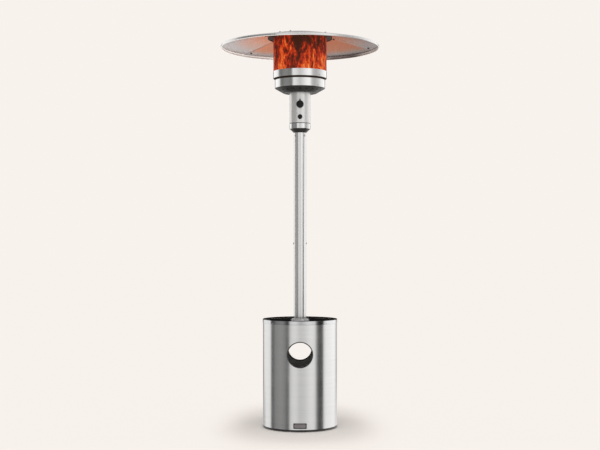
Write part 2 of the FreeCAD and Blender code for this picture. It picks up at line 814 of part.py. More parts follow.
def control_housing():
    """A tube whose lower end is drawn in to fit the collar, with holes for the knob and the igniter."""
    tongue_inner = "tongue_radius - housing_wall"
    step = "collar_top + housing_wall"
    body = turned("control_housing", [
        (tongue_inner, "collar_top - tongue_length"), ("tongue_radius", "collar_top - tongue_length"),
        ("tongue_radius", "collar_top"), ("housing_radius", "collar_top"), ("housing_radius", "housing_top"),
        ("housing_inner", "housing_top"), ("housing_inner", step), (tongue_inner, step)])
    holes_round(body, "tongue_hole", "rivet", "tongue_screw_level", "housing_radius", "tongue_screw_count")
    for name, radius, level in (("knob_hole", "valve_nose_radius + slip_gap", "knob_level"),
                                ("igniter_hole", "igniter_radius + slip_gap", "igniter_level")):
        rod(body, name, "XZ_Plane", radius, "housing_radius + cut_overrun", cut=True, up=level)


def housing_screws():
    body = new_body("housing_screws")
    screw = fastener(body, "housing_screw", "rivet", "collar_radius", "tongue_screw_level",
                     "collar_wall + slip_gap + housing_wall + rivet_tail", lying=True)
    ring(body, screw, "tongue_screw_count")


def gas_valve():
    """The valve block, its pipe bosses above and below and its nose through the housing."""
    body = new_body("gas_valve")
    block = [("-valve_width / 2", "-valve_front"), ("valve_width / 2", "-valve_front"),
             ("valve_width / 2", "valve_back"), ("-valve_width / 2", "valve_back")]
    pad(body, outline(body, "valve_block", block, "XY_Plane", out="valve_bottom"), "valve_height")
    rod(body, "lower_boss", "XY_Plane", "boss_radius", "boss_height", out="valve_bottom - boss_height")
    rod(body, "upper_boss", "XY_Plane", "boss_radius", "boss_height", out="valve_top")
    nose_end = "housing_radius + valve_nose_proud"
    rod(body, "valve_nose", "XZ_Plane", "valve_nose_radius", nose_end + " - valve_front",
        up="knob_level", out="valve_front")
    rod(body, "stem_bore", "XZ_Plane", "stem_radius + stem_gap",
        nose_end + " - stem_back + push_room + cut_overrun",
        cut=True, up="knob_level", out="stem_back - push_room")


def valve_stem():
    body = turned("valve_stem", [
        ("0", "stem_back"), ("stem_radius", "stem_back"), ("stem_radius", "stem_front"), ("0", "stem_front")])
    face_forward(body, "knob_level")


def control_knob():
    """A round knob drawn out to a point above, bored from behind for the stem."""
    body = new_body("control_knob")
    rod(body, "knob_disc", "XY_Plane", "knob_radius", "knob_depth", out="knob_back")
    half = "knob_radius * sqrt(1 - (knob_radius / knob_tip) ^ 2)"
    base = "knob_radius ^ 2 / knob_tip"
    pointer = [("-" + half, base), (half, base), ("0", "knob_tip")]
    pad(body, outline(body, "knob_pointer", pointer, "XY_Plane", out="knob_back"), "knob_depth")
    rod(body, "knob_bore", "XY_Plane", "stem_radius + seat_gap", "stem_grip + stem_gap + cut_overrun",
        cut=True,
        out="knob_back - cut_overrun")
    face_forward(body, "knob_level")


def burner_supply_tube():
    inner = "supply_radius - supply_wall"
    bottom = "valve_top + boss_height"
    top = "deck_top + supply_rise"
    turned("burner_supply_tube", [(inner, bottom), ("supply_radius", bottom), ("supply_radius", top),
                                  (inner, top)])


def igniter_body():
    bore = "button_radius + stem_gap"
    bore_end = "button_back - press_room"
    body = turned("igniter_body", [
        ("0", "igniter_back"), ("igniter_radius", "igniter_back"), ("igniter_radius", "igniter_front"),
        (bore, "igniter_front"), (bore, bore_end), ("0", bore_end)])
    face_forward(body, "igniter_level")


def igniter_bezel():
    """A ring round the igniter whose back follows the round housing."""
    start = "housing_radius - bezel_radius"
    disc = cylinder("bezel_disc", "bezel_radius", "bezel_radius + bezel_height", start, True, "igniter_level")
    bore = cylinder("bezel_bore", "igniter_radius + seat_gap", "bezel_radius * 2", start, True,
                    "igniter_level")
    wall = cylinder("bezel_seat", "housing_radius + seat_gap", "bezel_radius * 4",
                    "igniter_level - bezel_radius * 2")
    ring_shape = combine("Cut", "bezel_ring", disc, bore)
    sub_parts.append(combine("Cut", "igniter_bezel", ring_shape, wall))


def igniter_button():
    edge = "button_radius - bezel_height / 2"
    body = turned("igniter_button", [
        ("0", "button_back"), ("button_radius", "button_back"),
        ("button_radius", "button_front - bezel_height / 2"),
        (edge, "button_front"), ("0", "button_front")])
    face_forward(body, "igniter_level")


def rounded_path(points, bend):
    """Straight runs from point to point, joined by tangent arcs."""
    edges = []
    start = points[0]
    for before, corner, after in zip(points, points[1:], points[2:]):
        inward = (before - corner).normalize()
        outward = (after - corner).normalize()
        half_turn = (math.pi - inward.getAngle(outward)) / 2
        setback = bend * math.tan(half_turn)
        first = corner + inward * setback
        last = corner + outward * setback
        middle_way = (inward + outward).normalize()
        centre = corner + middle_way * (bend / math.cos(half_turn))
        edges.append(Part.LineSegment(start, first).toShape())
        edges.append(Part.Arc(first, centre - middle_way * bend, last).toShape())
        start = last
    edges.append(Part.LineSegment(start, points[-1]).toShape())
    return Part.Wire(edges)


def lead(label, side, start, low):
    """A thin lead up to the burner deck, ending in a probe beside the pilot.

    start is its first corner or corners, low the distance from the axis at which it rises."""
    setback = -value("lead_setback")
    ways = start + [(low, "housing_top - lead_drop"), ("lead_high", "housing_top + lead_rise"),
                    ("lead_high", "deck_top + probe_length")]
    points = [Vector(side * value(across), setback, value(level)) for across, level in ways]
    section = Part.Wire(Part.Circle(points[0], points[1] - points[0], value("lead_radius")).toShape())
    tube = rounded_path(points, value("lead_bend")).makePipeShell([section], True, False)
    foot = Vector(points[-1].x, setback, value("deck_top + seat_gap"))
    probe = Part.makeCylinder(value("probe_radius"), value("probe_length"), foot)
    item = document.addObject("Part::Feature", label)
    item.Shape = tube.fuse(probe).removeSplitter()
    sub_parts.append(item)


def leads():
    """One lead from the top of the valve, and one from the side of the igniter past the valve."""
    lead("thermocouple", 1, [("lead_start", "valve_top + seat_gap")], "lead_start")
    lead("spark_electrode", -1, [("igniter_radius + seat_gap", "igniter_level"),
                                 ("lead_low", "igniter_level")],
         "lead_low")


def box_part(label, left, right, front, back, bottom, height):
    """A plain block by its sides on the plan, its bottom level and its height."""
    body = new_body(label)
    plan = [(left, front), (right, front), (right, back), (left, back)]
    pad(body, outline(body, label + "_plan", plan, "XY_Plane", out=bottom), height)


def pilot_burner():
    box_part("pilot_burner", "lead_high - pilot_gap - pilot_width", "lead_high - pilot_gap",
             "-lead_setback - pilot_depth / 2", "-lead_setback + pilot_depth / 2", "deck_top", "pilot_height")


def tilt_switch():
    box_part("tilt_switch", "-tilt_width / 2", "tilt_width / 2", "tilt_setback", "tilt_setback + tilt_depth",
             "cone_top", "tilt_height")


def burner_dish():
    """A pressed dish under the burner: a flat floor, a sloping wall and a lip, all vented."""
    lip_inner = "dish_lip_radius - dish_sheet"
    body = turned("burner_dish", [
        ("dish_bore", "housing_top"), ("dish_floor_radius", "housing_top"), ("lower_band_radius", "dish_top"),
        ("dish_lip_radius", "dish_top"), ("dish_lip_radius", "dish_top + dish_lip"),
        (lip_inner, "dish_top + dish_lip"), (lip_inner, "dish_top"),
        ("dish_floor_radius - dish_sheet / 2", "housing_top + dish_sheet"),
        ("dish_bore", "housing_top + dish_sheet")])
    wall_vent_ring = "(dish_floor_radius + lower_band_radius) / 2"
    for name, place in (("wall_vent", wall_vent_ring), ("floor_vent", "floor_vent_ring")):
        vent = hole_down(body, name, place, "0", "housing_top", "dish_height - dish_sheet",
                         "dish_vent_radius")
        ring(body, vent, "dish_vent_count")
    holes_round(body, "lip_hole", "rivet", "dish_top + band_screw_rise", "lower_band_radius",
                "band_screw_count", swing="band_screw_turn")


def lower_band():
    inner = "lower_band_radius - band_sheet"
    flange = "lower_band_radius - band_flange"
    body = turned("lower_band", [
        (inner, "dish_top"), ("lower_band_radius", "dish_top"), ("lower_band_radius", "lower_band_top"),
        (flange, "lower_band_top"), (flange, "lower_band_top - band_sheet"),
        (inner, "lower_band_top - band_sheet")])
    holes_round(body, "band_hole", "rivet", "dish_top + band_screw_rise", "lower_band_radius",
                "band_screw_count", swing="band_screw_turn")


def burner_deck():
    """The deck under the burner: a neck on the lower band, a flat deck and a lip inside the screen."""
    bore = "supply_radius + hole_gap"
    neck_inner = "neck_radius - deck_sheet"
    flange = "neck_radius - deck_flange"
    lip_inner = "deck_lip_radius - deck_sheet"
    body = turned("burner_deck", [
        (flange, "lower_band_top"), ("neck_radius", "lower_band_top"), ("neck_radius", "deck_level"),
        ("upper_band_inner - seat_gap", "deck_level"), ("upper_band_inner - seat_gap", "deck_top"),
        ("deck_lip_radius", "deck_top"), ("deck_lip_radius", "deck_top + deck_lip"),
        (lip_inner, "deck_top + deck_lip"), (lip_inner, "deck_top"), (bore, "deck_top"), (bore, "deck_level"),
        (neck_inner, "deck_level"), (neck_inner, "lower_band_top + deck_sheet"),
        (flange, "lower_band_top + deck_sheet")])
    for side in ("", "-"):
        hole_down(body, "lead_hole", side + "lead_high", "-lead_setback", "deck_level", "deck_sheet",
                  "lead_radius + hole_gap")
    holes_round(body, "deck_hole", "rivet", "deck_level + band_screw_rise", "upper_band_radius",
                "band_screw_count", swing="band_screw_turn")


def upper_band():
    top = "deck_level + upper_band_height"
    body = turned("upper_band", [
        ("upper_band_inner", "deck_level"), ("upper_band_radius", "deck_level"), ("upper_band_radius", top),
        ("upper_band_inner", top)])
    holes_round(body, "band_hole", "rivet", "deck_level + band_screw_rise", "upper_band_radius",
                "band_screw_count", swing="band_screw_turn")


def band_screws():
    body = new_body("band_screws")
    lower = fastener(body, "lower_screw", "rivet", "lower_band_radius", "dish_top + band_screw_rise",
                     "band_sheet + slip_gap + dish_sheet + rivet_tail", lying=True)
    ring(body, lower, "band_screw_count")
    stack = "band_sheet + screen_gap + screen_sheet + slip_gap + deck_sheet"
    upper = fastener(body, "upper_screw", "rivet", "upper_band_radius", "deck_level + band_screw_rise",
                     stack + " + rivet_tail", lying=True)
    ring(body, upper, "band_screw_count")
    turn_body(body, "band_screw_turn")


def burner_head():
    bore = "supply_radius + hole_gap"
    wall = "head_radius - head_wall"
    turned("burner_head", [
        (bore, "deck_top"), ("head_radius", "deck_top"), ("head_radius", "deck_top + head_height"),
        (wall, "deck_top + head_height"), (wall, "deck_top + head_floor"), (bore, "deck_top + head_floor")])


def burner_cap():
    seat = "deck_top + head_height"
    turned("burner_cap", [
        ("0", seat), ("cap_radius", seat), ("cap_radius", seat + " + cap_edge"),
        ("cap_flat", seat + " + cap_rise"), ("0", seat + " + cap_rise")])


def emitter_screen():
    body = turned("emitter_screen", [
        ("screen_inner", "deck_top"), ("screen_radius", "deck_top"), ("screen_radius", "screen_top"),
        ("screen_inner", "screen_top")])
    holes_round(body, "screen_hole", "rivet", "deck_level + band_screw_rise", "upper_band_radius",
                "band_screw_count", swing="band_screw_turn")


def emitter_top_plate():
    edge = "top_plate_radius - top_plate_sheet"
    turned("emitter_top_plate", [
        ("0", "screen_top"), (edge, "screen_top"), (edge, "screen_top - top_plate_lip"),
        ("top_plate_radius", "screen_top - top_plate_lip"), ("top_plate_radius", "top_plate_top"),
        ("0", "top_plate_top")])


def cone_level(radius):
    """The level of the top of the reflector panels at a radius."""
    return "(crown_under - (%s - crown_radius) * reflector_fall)" % radius


def reflector_standoffs():
    """Short posts from the top plate to the crown, each ending in a threaded stud."""
    body = new_body("reflector_standoffs")
    stud_top = "crown_top + bolt_stand"
    corners = [("0", "top_plate_top"), ("standoff_radius", "top_plate_top"),
               ("standoff_radius", "crown_under"),
               ("bolt_radius", "crown_under"), ("bolt_radius", stud_top), ("0", stud_top)]
    ring(body, revolve(body, outline(body, "standoff", corners, across="standoff_ring")), "standoff_count")
    turn_body(body, "seam_turn")


def reflector_crown():
    """The flat crown, with a sloping skirt over the inner ends of the panels."""
    skirt = cone_level("skirt_radius")
    body = turned("reflector_crown", [
        ("0", "crown_under"), ("crown_radius", "crown_under"), ("skirt_radius", skirt),
        ("skirt_radius", skirt + " + reflector_sheet"), ("crown_radius", "crown_top"), ("0", "crown_top")])
    ring(body, hole_down(body, "stud_hole", "standoff_ring", "0", "crown_under", "reflector_sheet"),
         "standoff_count")
    bolt_hole = hole_down(body, "bolt_hole", "inner_bolt_ring", "0",
                          cone_level("inner_bolt_ring") + " - reflector_sheet",
                          "reflector_sheet * 3", "bolt_radius + tilt_gap")
    ring(body, bolt_hole, "panel_count * 2")
    turn_body(body, "seam_turn")


def reflector_panels():
    """Three panels, each with a strip along one edge that tucks under the next panel."""
    half = "180 / panel_count"
    seam = "(seam_edge + seam_gap / 2)"
    strip_from = half + " - seam_gap / 2 - seam_root"
    strip_to = half + " + seam_gap / 2 + seam_edge + seam_lap"
    lip = "reflector_radius - rim_sheet"
    for number, letter in enumerate("abc"):
        label = "reflector_panel_" + letter
        body = new_body(label)
        corners = [
            ("panel_inner", cone_level("panel_inner")), ("reflector_radius", "rim_top"),
            ("reflector_radius", "rim_bottom"), (lip, "rim_bottom"),
            (lip, cone_level("(%s)" % lip) + " - reflector_sheet"),
            ("panel_inner", cone_level("panel_inner") + " - reflector_sheet")]
        panel = revolve(body, outline(body, label + "_outline", corners),
                        angle="360 / panel_count - seam_gap")
        panel = round_edges(body, panel, "rim_bend", [corners[1]])
        round_edges(body, panel, "rim_bend - rim_sheet", [corners[4]])
        inner = cone_level("panel_inner") + " - reflector_sheet"
        outer = cone_level("lap_outer") + " - reflector_sheet"
        strip = [("panel_inner", inner), ("lap_outer", outer), ("lap_outer", outer + " - reflector_sheet"),
                 ("panel_inner", inner + " - reflector_sheet")]
        middle = "(%s + %s) / 2" % (strip_from, strip_to)
        revolve(body, outline(body, label + "_strip", strip, swing=middle),
                angle="%s - (%s)" % (strip_to, strip_from))
        for turn, radii in (("%s - %s" % (seam, half), ("inner_bolt_ring", "rim_bolt_ring")),
                            (seam, ("inner_bolt_ring",)),
                            ("%s + %s" % (seam, half), ("inner_bolt_ring", "rim_bolt_ring"))):
            for radius in radii:
                hole_down(body, label + "_hole", "%s * cos(%s)" % (radius, turn),
                          "%s * sin(%s)" % (radius, turn),
                          cone_level(radius) + " - reflector_sheet * 3", "reflector_sheet * 4",
                          "bolt_radius + tilt_gap")
        turn_body(body, "seam_turn - %s + (%d + 0.5) * 360 / panel_count" % (seam, number))


# Each ring of reflector bolts: its name, its radius, its side of the axis, and how many
# sheets lie below the top of the panels there and in the whole stack.
REFLECTOR_RINGS = [("seam", "inner_bolt_ring", "", 2, 3), ("panel", "inner_bolt_ring", "-", 1, 2),
                   ("rim", "rim_bolt_ring", "", 2, 2)]


def reflector_bolts():
    """Bolts square to the slope: six under the crown's skirt and one near the rim on each seam."""
    body = new_body("reflector_bolts")
    for name, radius, side, sheets_below, sheets in REFLECTOR_RINGS:
        seat = cone_level(radius) + " - reflector_sheet * %d - seat_gap" % sheets_below
        bolt = fastener(body, name + "_bolt", "bolt", side + radius, seat,
                        "reflector_sheet * %d + bolt_stand + seat_gap * 2" % sheets, headed_down=True,
                        turn=("" if side else "-") + "atan(reflector_fall)")
        ring(body, bolt, "panel_count")
    turn_body(body, "seam_turn")


def reflector_nuts():
    """Domed nuts on the bolts of the reflector and on the studs of its standoffs."""
    body = new_body("reflector_nuts")
    for name, radius, side, sheets_below, sheets in REFLECTOR_RINGS:
        seat = cone_level(radius) + " - reflector_sheet * %d - seat_gap" % sheets_below
        nut = domed_nut(body, name + "_nut", side + radius, seat,
                        "reflector_sheet * %d + seat_gap * 2" % sheets,
                        turn=("" if side else "-") + "atan(reflector_fall)")
        ring(body, nut, "panel_count")
    ring(body, domed_nut(body, "crown_nut", "standoff_ring", "crown_top"), "standoff_count")
    turn_body(body, "seam_turn")


def tank_shell():
    """The round wall of the housing, with a hand hole in front and one behind."""
    body = turned("tank_shell", [
        ("shell_inner", "shell_bottom"), ("shell_radius", "shell_bottom"), ("shell_radius", "shell_top"),
        ("shell_inner", "shell_top")])
    for name, start in (("front_hole", "0"), ("rear_hole", "-shell_radius - cut_overrun")):
        rod(body, name, "XZ_Plane", "hole_radius + trim_web + hole_gap", "shell_radius + cut_overrun",
            cut=True,
            up="hole_level", out=start)
    holes_round(body, "rivet_hole", "rivet", "cover_rivet_level", "shell_radius", "cover_rivet_count",
                swing="cover_rivet_turn")


def shell_rim():
    """A band round the top of the housing, folded in over its edge."""
    fold = "shell_inner - shell_rim_inset"
    corners = [
        ("shell_rim_inner", "shell_rim_bottom"), ("shell_rim_radius", "shell_rim_bottom"),
        ("shell_rim_radius", "cover_rim_top"), (fold, "cover_rim_top"), (fold, "shell_top + seat_gap"),
        ("shell_rim_inner", "shell_top + seat_gap")]
    body = new_body("shell_rim")
    band = revolve(body, outline(body, "shell_rim_outline", corners))
    round_edges(body, band, "shell_rim_round", [corners[2], corners[3]])
    holes_round(body, "rim_hole", "rivet", "cover_rivet_level", "shell_rim_radius", "cover_rivet_count",
                swing="cover_rivet_turn")


def cover_plate():
    """The lid inside the rim, with a flange turned down and a hole round the post."""
    flange_inner = "lid_flange_radius - lid_sheet"
    flange_end = "lid_top - lid_flange"
    body = turned("cover_plate", [
        ("lid_bore", "lid_under"), (flange_inner, "lid_under"), (flange_inner, flange_end),
        ("lid_flange_radius", flange_end), ("lid_flange_radius", "lid_top"), ("lid_bore", "lid_top")])
    holes_round(body, "flange_hole", "rivet", "cover_rivet_level", "shell_radius", "cover_rivet_count",
                swing="cover_rivet_turn")


def cover_collar():
    """A flanged ring in the lid, round the post."""
    neck = "lid_bore - slip_gap"
    upper = "cover_collar_bore + cover_collar_wall"
    turned("cover_collar", [
        ("cover_collar_bore", "lid_top - cover_collar_neck"), (neck, "lid_top - cover_collar_neck"),
        (neck, "lid_top"), ("cover_collar_radius", "lid_top"),
        ("cover_collar_radius", "lid_top + cover_collar_flange"), (upper, "lid_top + cover_collar_flange"),
        (upper, "lid_top + cover_collar_rise"), ("cover_collar_bore", "lid_top + cover_collar_rise")])


def cover_rivets():
    body = new_body("cover_rivets")
    rivet = fastener(body, "cover_rivet", "rivet", "shell_rim_radius", "cover_rivet_level",
                     "shell_rim_sheet + seat_gap + shell_sheet + slip_gap + lid_sheet", lying=True)
    ring(body, rivet, "cover_rivet_count")
    turn_body(body, "cover_rivet_turn")


def badge_plate():
    """A bare plate on the front of the housing, with a raised border."""
    body = new_body("badge_plate")
    outer = "badge_inner + badge_sheet"
    top = "badge_bottom + badge_height"
    plate = [("badge_inner", "badge_bottom"), (outer, "badge_bottom"), (outer, top), ("badge_inner", top)]
    revolve(body, outline(body, "badge_outline", plate), angle="badge_angle")
    floor = outer + " - badge_recess"
    low, high = "badge_bottom + badge_border * 2", top + " - badge_border * 2"
    beyond = outer + " + cut_overrun"
    recess = [(floor, low), (beyond, low), (beyond, high), (floor, high)]
    revolve(body, outline(body, "badge_recess_outline", recess), angle="badge_angle - badge_border",
            kind="Groove")
    turn_body(body, "-90")


def hole_trims():
    """A rubber trim round each hand hole, gripping the wall of the shell in its groove."""
    near = "shell_radius / 2"
    length = "shell_radius"
    for label, turn in (("front_hole_trim", 0), ("rear_hole_trim", 180)):
        def across(name, radius):
            return cylinder(label + name, radius, length, near, True, "hole_level")

        def upright(name, radius):
            return cylinder(label + name, radius, "hole_radius * 4", "hole_level - hole_radius * 2")

        ring_tube = combine("Cut", label + "_ring", across("_outer", "hole_radius + trim_width"),
                            across("_inner", "hole_radius"))
        band = combine("Cut", label + "_band", upright("_front", "shell_radius + trim_sheet"),
                       upright("_back", "shell_inner - trim_sheet"))
        blank = combine("Common", label + "_blank", ring_tube, band)
        groove_ring = combine("Cut", label + "_groove_ring",
                              across("_groove_outer", "hole_radius + trim_width * 2"),
                              across("_groove_inner", "hole_radius + trim_web"))
        groove_band = combine("Cut", label + "_groove_band",
                              upright("_groove_front", "shell_radius + seat_gap"),
                              upright("_groove_back", "shell_inner - seat_gap"))
        groove = combine("Common", label + "_groove", groove_ring, groove_band)
        trim = combine("Cut", label, blank, groove)
        trim.Placement = FreeCAD.Placement(Vector(), FreeCAD.Rotation(Vector(0, 0, 1), turn))
        sub_parts.append(trim)


def check_and_write():
    """Stop if anything failed to build, then write one STEP file for each sub-part."""
    document.recompute()
    for item in document.Objects:
        if "Invalid" in item.State or "Error" in item.State:
            raise ValueError("%s did not build" % item.Label)
    for item in sub_parts:
        if item.Shape.isNull() or not item.Shape.isValid() or not item.Shape.Solids:
            raise ValueError("%s is not a valid solid" % item.Label)
    os.makedirs("parts", exist_ok=True)
    for item in sub_parts:
        item.Shape.exportStep("parts/%s.step" % item.Label)
        print(item.Label, len(item.Shape.Solids), "solids")
    print(len(sub_parts), "sub-parts")


fill_sheet()
foot_pads()
base_pan()
base_weight()
legs()
leg_bolts()
hub_plate()
hub_bolts()
lower_post()
upper_post()
post_screws()
head_screws()
gas_inlet_fitting()
gas_feed_pipe()
wheel_bracket()
bracket_bolts()
wheel_axle()
axle_caps()
wheels()
head_socket()
housing_collar()
control_housing()
housing_screws()
gas_valve()
valve_stem()
control_knob()
burner_supply_tube()
igniter_body()
igniter_bezel()
igniter_button()
leads()
pilot_burner()
tilt_switch()
burner_dish()
lower_band()
burner_deck()
upper_band()
band_screws()
burner_head()
burner_cap()
emitter_screen()
emitter_top_plate()
reflector_standoffs()
reflector_crown()
reflector_panels()
reflector_bolts()
reflector_nuts()
tank_shell()
shell_rim()
cover_plate()
cover_collar()
cover_rivets()
badge_plate()
hole_trims()
check_and_write()
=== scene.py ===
import json
import math

import bmesh
import bpy
from mathutils import Matrix, Vector


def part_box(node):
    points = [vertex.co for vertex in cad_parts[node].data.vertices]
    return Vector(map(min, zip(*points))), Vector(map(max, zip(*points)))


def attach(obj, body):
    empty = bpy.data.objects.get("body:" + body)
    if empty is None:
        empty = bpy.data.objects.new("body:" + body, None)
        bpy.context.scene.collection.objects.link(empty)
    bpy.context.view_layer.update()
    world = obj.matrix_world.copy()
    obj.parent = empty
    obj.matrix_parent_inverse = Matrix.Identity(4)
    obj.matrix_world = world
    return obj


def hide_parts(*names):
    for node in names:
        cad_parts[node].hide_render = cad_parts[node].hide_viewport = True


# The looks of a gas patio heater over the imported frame: brushed steel housing, post and burner
# bands, a glowing perforated screen and a wide reflector. Lengths are in metres. Only the numbers
# that round a corner and the depths of a surface's relief are in millimetres.

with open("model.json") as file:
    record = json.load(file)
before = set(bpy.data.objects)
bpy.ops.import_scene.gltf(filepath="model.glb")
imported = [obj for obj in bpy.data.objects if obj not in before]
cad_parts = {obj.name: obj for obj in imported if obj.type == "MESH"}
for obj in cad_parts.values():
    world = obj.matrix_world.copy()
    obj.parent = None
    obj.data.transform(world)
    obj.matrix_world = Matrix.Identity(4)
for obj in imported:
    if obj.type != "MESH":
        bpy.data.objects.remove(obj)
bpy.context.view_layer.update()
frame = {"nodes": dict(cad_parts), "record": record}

MM = 0.001
FULL_TURN = 2 * math.pi
QUARTER = math.pi / 2

BODY_OF = {node: body for body, nodes in frame["record"]["behaviour"]["bodies"].items() for node in nodes}
SLOT_OF = {part["node"]: part["material_slot"] for part in frame["record"]["subparts"]}
MATERIALS = {}


def reach(node):
    """How far a node reaches from the axis of the post."""
    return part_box(node)[1].x


def low(node):
    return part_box(node)[0].z


def high(node):
    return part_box(node)[1].z


def middle(node):
    return (low(node) + high(node)) / 2


def extent(node):
    """How far a node reaches from the axis, its lowest level and its highest."""
    return reach(node), low(node), high(node)


# Node trees

def feed(tree, item, inputs):
    """Set a node's inputs to values, or link them to sockets."""
    for key, source in inputs.items():
        if isinstance(source, bpy.types.NodeSocket):
            tree.links.new(source, item.inputs[key])
        else:
            item.inputs[key].default_value = source


def add(tree, kind, inputs=None, **settings):
    """A node with its settings and its inputs."""
    item = tree.nodes.new(kind)
    for name, setting in settings.items():
        setattr(item, name, setting)
    feed(tree, item, inputs or {})
    return item


def emptied(owner):
    """The node tree of a material or a world, without nodes."""
    owner.use_nodes = True
    owner.node_tree.nodes.clear()
    return owner.node_tree


def maths(tree, operation, first, second=0.0, third=0.0, clamp=False):
    inputs = {0: first, 1: second, 2: third}
    return add(tree, "ShaderNodeMath", inputs, operation=operation, use_clamp=clamp).outputs[0]


def parts_of(tree, vector):
    return add(tree, "ShaderNodeSeparateXYZ", {0: vector}).outputs


def length_of(tree, vector):
    return add(tree, "ShaderNodeVectorMath", {0: vector}, operation="LENGTH").outputs["Value"]


def mapped(tree, value, start, end, lowest=0.0, highest=1.0, blend="LINEAR"):
    """A value between start and end, brought between two other numbers."""
    inputs = {"Value": value, "From Min": start, "From Max": end, "To Min": lowest, "To Max": highest}
    return add(tree, "ShaderNodeMapRange", inputs, interpolation_type=blend).outputs["Result"]


def spread(tree, value, lowest, highest):
    """A noise's middle range stretched between two numbers."""
    return mapped(tree, value, 0.3, 0.7, lowest, highest)


def step_up(tree, value, start, end):
    """0 before the start and 1 past the end, smooth between them."""
    return mapped(tree, value, start, end, blend="SMOOTHSTEP")


def ramp(tree, factor, stops):
    """A colour ramp whose stops are (place, colour or grey), in order."""
    item = add(tree, "ShaderNodeValToRGB", {"Fac": factor})
    elements = item.color_ramp.elements
    while len(elements) < len(stops):
        elements.new(0.5)
    for element, (place, colour) in zip(elements, stops):
        element.position = place
        element.color = (*(colour if isinstance(colour, tuple) else (colour,) * 3), 1)
    return item.outputs["Color"]


def tinted(tree, factor, first, second):
    """One colour changed into another by a factor. Each is a socket or three numbers."""
    item = add(tree, "ShaderNodeMix", {0: factor}, data_type="RGBA")
    for socket, colour in ((6, first), (7, second)):
        feed(tree, item, {socket: (*colour, 1) if isinstance(colour, tuple) else colour})
    return item.outputs[2]


def screen_colour(red, green, blue):
    """A colour as it shows on a screen, 0 to 255, as the linear values that a shader takes."""
    def linear(part):
        part /= 255
        return part / 12.92 if part <= 0.04045 else ((part + 0.055) / 1.055) ** 2.4
    return linear(red), linear(green), linear(blue)


# Finishes

GRAIN_DEPTH = 0.006
PANEL_REACH = reach("reflector_panel_a")
STAINLESS = (0.80, 0.795, 0.785)
# The burner's glow painted under the reflector as copper tones: the place from the axis to the rim,
# the sheet's colour and its colour at a grazing angle. The panel at the back carries more of this painted
# glow than the two in front.
REAR_PAINTED_GLOW = [
    (0.38, (0.90, 0.41, 0.28), (0.93, 0.54, 0.42)),
    (0.76, (0.88, 0.45, 0.32), (0.94, 0.59, 0.47)),
    (0.85, (0.82, 0.52, 0.42), (0.88, 0.67, 0.57)),
    (0.92, (0.70, 0.60, 0.57), (0.84, 0.79, 0.77)),
    (1.00, (0.74, 0.70, 0.68), (0.95, 0.94, 0.94)),
]
FRONT_PAINTED_GLOW = [
    (0.38, (0.90, 0.45, 0.32), (0.93, 0.58, 0.47)),
    (0.58, (0.88, 0.52, 0.40), (0.93, 0.65, 0.56)),
    (0.74, (0.84, 0.60, 0.52), (0.92, 0.75, 0.70)),
    (0.88, (0.76, 0.67, 0.64), (0.90, 0.86, 0.86)),
    (1.00, (0.74, 0.70, 0.68), (0.95, 0.94, 0.94)),
]
# The inside of the reflector's edge from left to right: painted light on the left and painted shade on the
# right.
RIM_PAINTED_LIGHT_AND_SHADE = [
    (0.0, (0.97, 0.96, 0.95)), (0.40, (0.97, 0.94, 0.91)), (0.55, (0.56, 0.45, 0.39)),
    (0.69, (0.48, 0.43, 0.40)), (0.76, (0.31, 0.27, 0.26)), (0.86, (0.20, 0.18, 0.18)),
    (0.94, (0.82, 0.80, 0.78)),
]
# The housing's rim band from left to right, darker in two stretches: a painted reflection.
BAND_PAINTED_REFLECTION = [
    (0.105, 0.72), (0.14, 0.42), (0.165, 0.38), (0.20, 0.56), (0.28, 0.64), (0.33, 0.35), (0.38, 0.70),
    (0.44, 0.72), (0.515, 0.60), (0.59, 0.74), (0.69, 0.62), (0.745, 0.35), (0.79, 0.32), (0.85, 0.74),
]
# The hot screen from its coolest to its hottest spots, in screen colours.
HEAT_TONES = [
    (0.12, (52, 20, 8)), (0.30, (88, 24, 8)), (0.42, (142, 30, 8)), (0.54, (190, 52, 16)),
    (0.68, (226, 88, 30)), (0.84, (240, 130, 58)), (1.0, (250, 190, 120)),
]


def new_material(name):
    """A material kept under its name, as its node tree and its shader."""
    MATERIALS[name] = bpy.data.materials.new(name)
    tree = emptied(MATERIALS[name])
    shader = add(tree, "ShaderNodeBsdfPrincipled")
    add(tree, "ShaderNodeOutputMaterial", {"Surface": shader.outputs[0]})
    return tree, shader


def object_place(tree, scale=None):
    """Object coordinates, stretched by a scale along each axis where one is given."""
    place = add(tree, "ShaderNodeTexCoord").outputs["Object"]
    return add(tree, "ShaderNodeMapping", {"Vector": place, "Scale": scale}).outputs[0] if scale else place


def noise(tree, vector, scale, detail=3.0, distortion=0.0, roughness=0.5):
    inputs = {"Vector": vector, "Scale": scale, "Detail": detail, "Distortion": distortion,
              "Roughness": roughness}
    return add(tree, "ShaderNodeTexNoise", inputs).outputs["Fac"]


def relief(tree, height, depth):
    inputs = {"Height": height, "Distance": depth * MM, "Strength": 1.0}
    return add(tree, "ShaderNodeBump", inputs).outputs[0]


def brushed_steel(name, colour, roughness, grain=(3, 3, 900), metal=1.0):
    """Brushed sheet: fine lines across the grain, soft smudges and a few deeper lines."""
    tree, shader = new_material(name)
    lines = noise(tree, object_place(tree, grain), 1.0, 4.0)
    scratches = noise(tree, object_place(tree, tuple(part * 0.31 for part in grain)), 1.0, 2.0)
    smudges = noise(tree, object_place(tree), 7.0, 4.0)
    dull = tuple(part * 0.9 for part in colour)
    streaks = spread(tree, lines, roughness - 0.03, roughness + 0.03)
    feed(tree, shader, {
        "Base Color": tinted(tree, spread(tree, lines, 0.0, 1.0), dull, colour),
        "Roughness": maths(tree, "ADD", streaks, spread(tree, smudges, -0.025, 0.025)),
        "Metallic": metal,
        "Normal": relief(tree, maths(tree, "ADD", lines, scratches), GRAIN_DEPTH),
    })


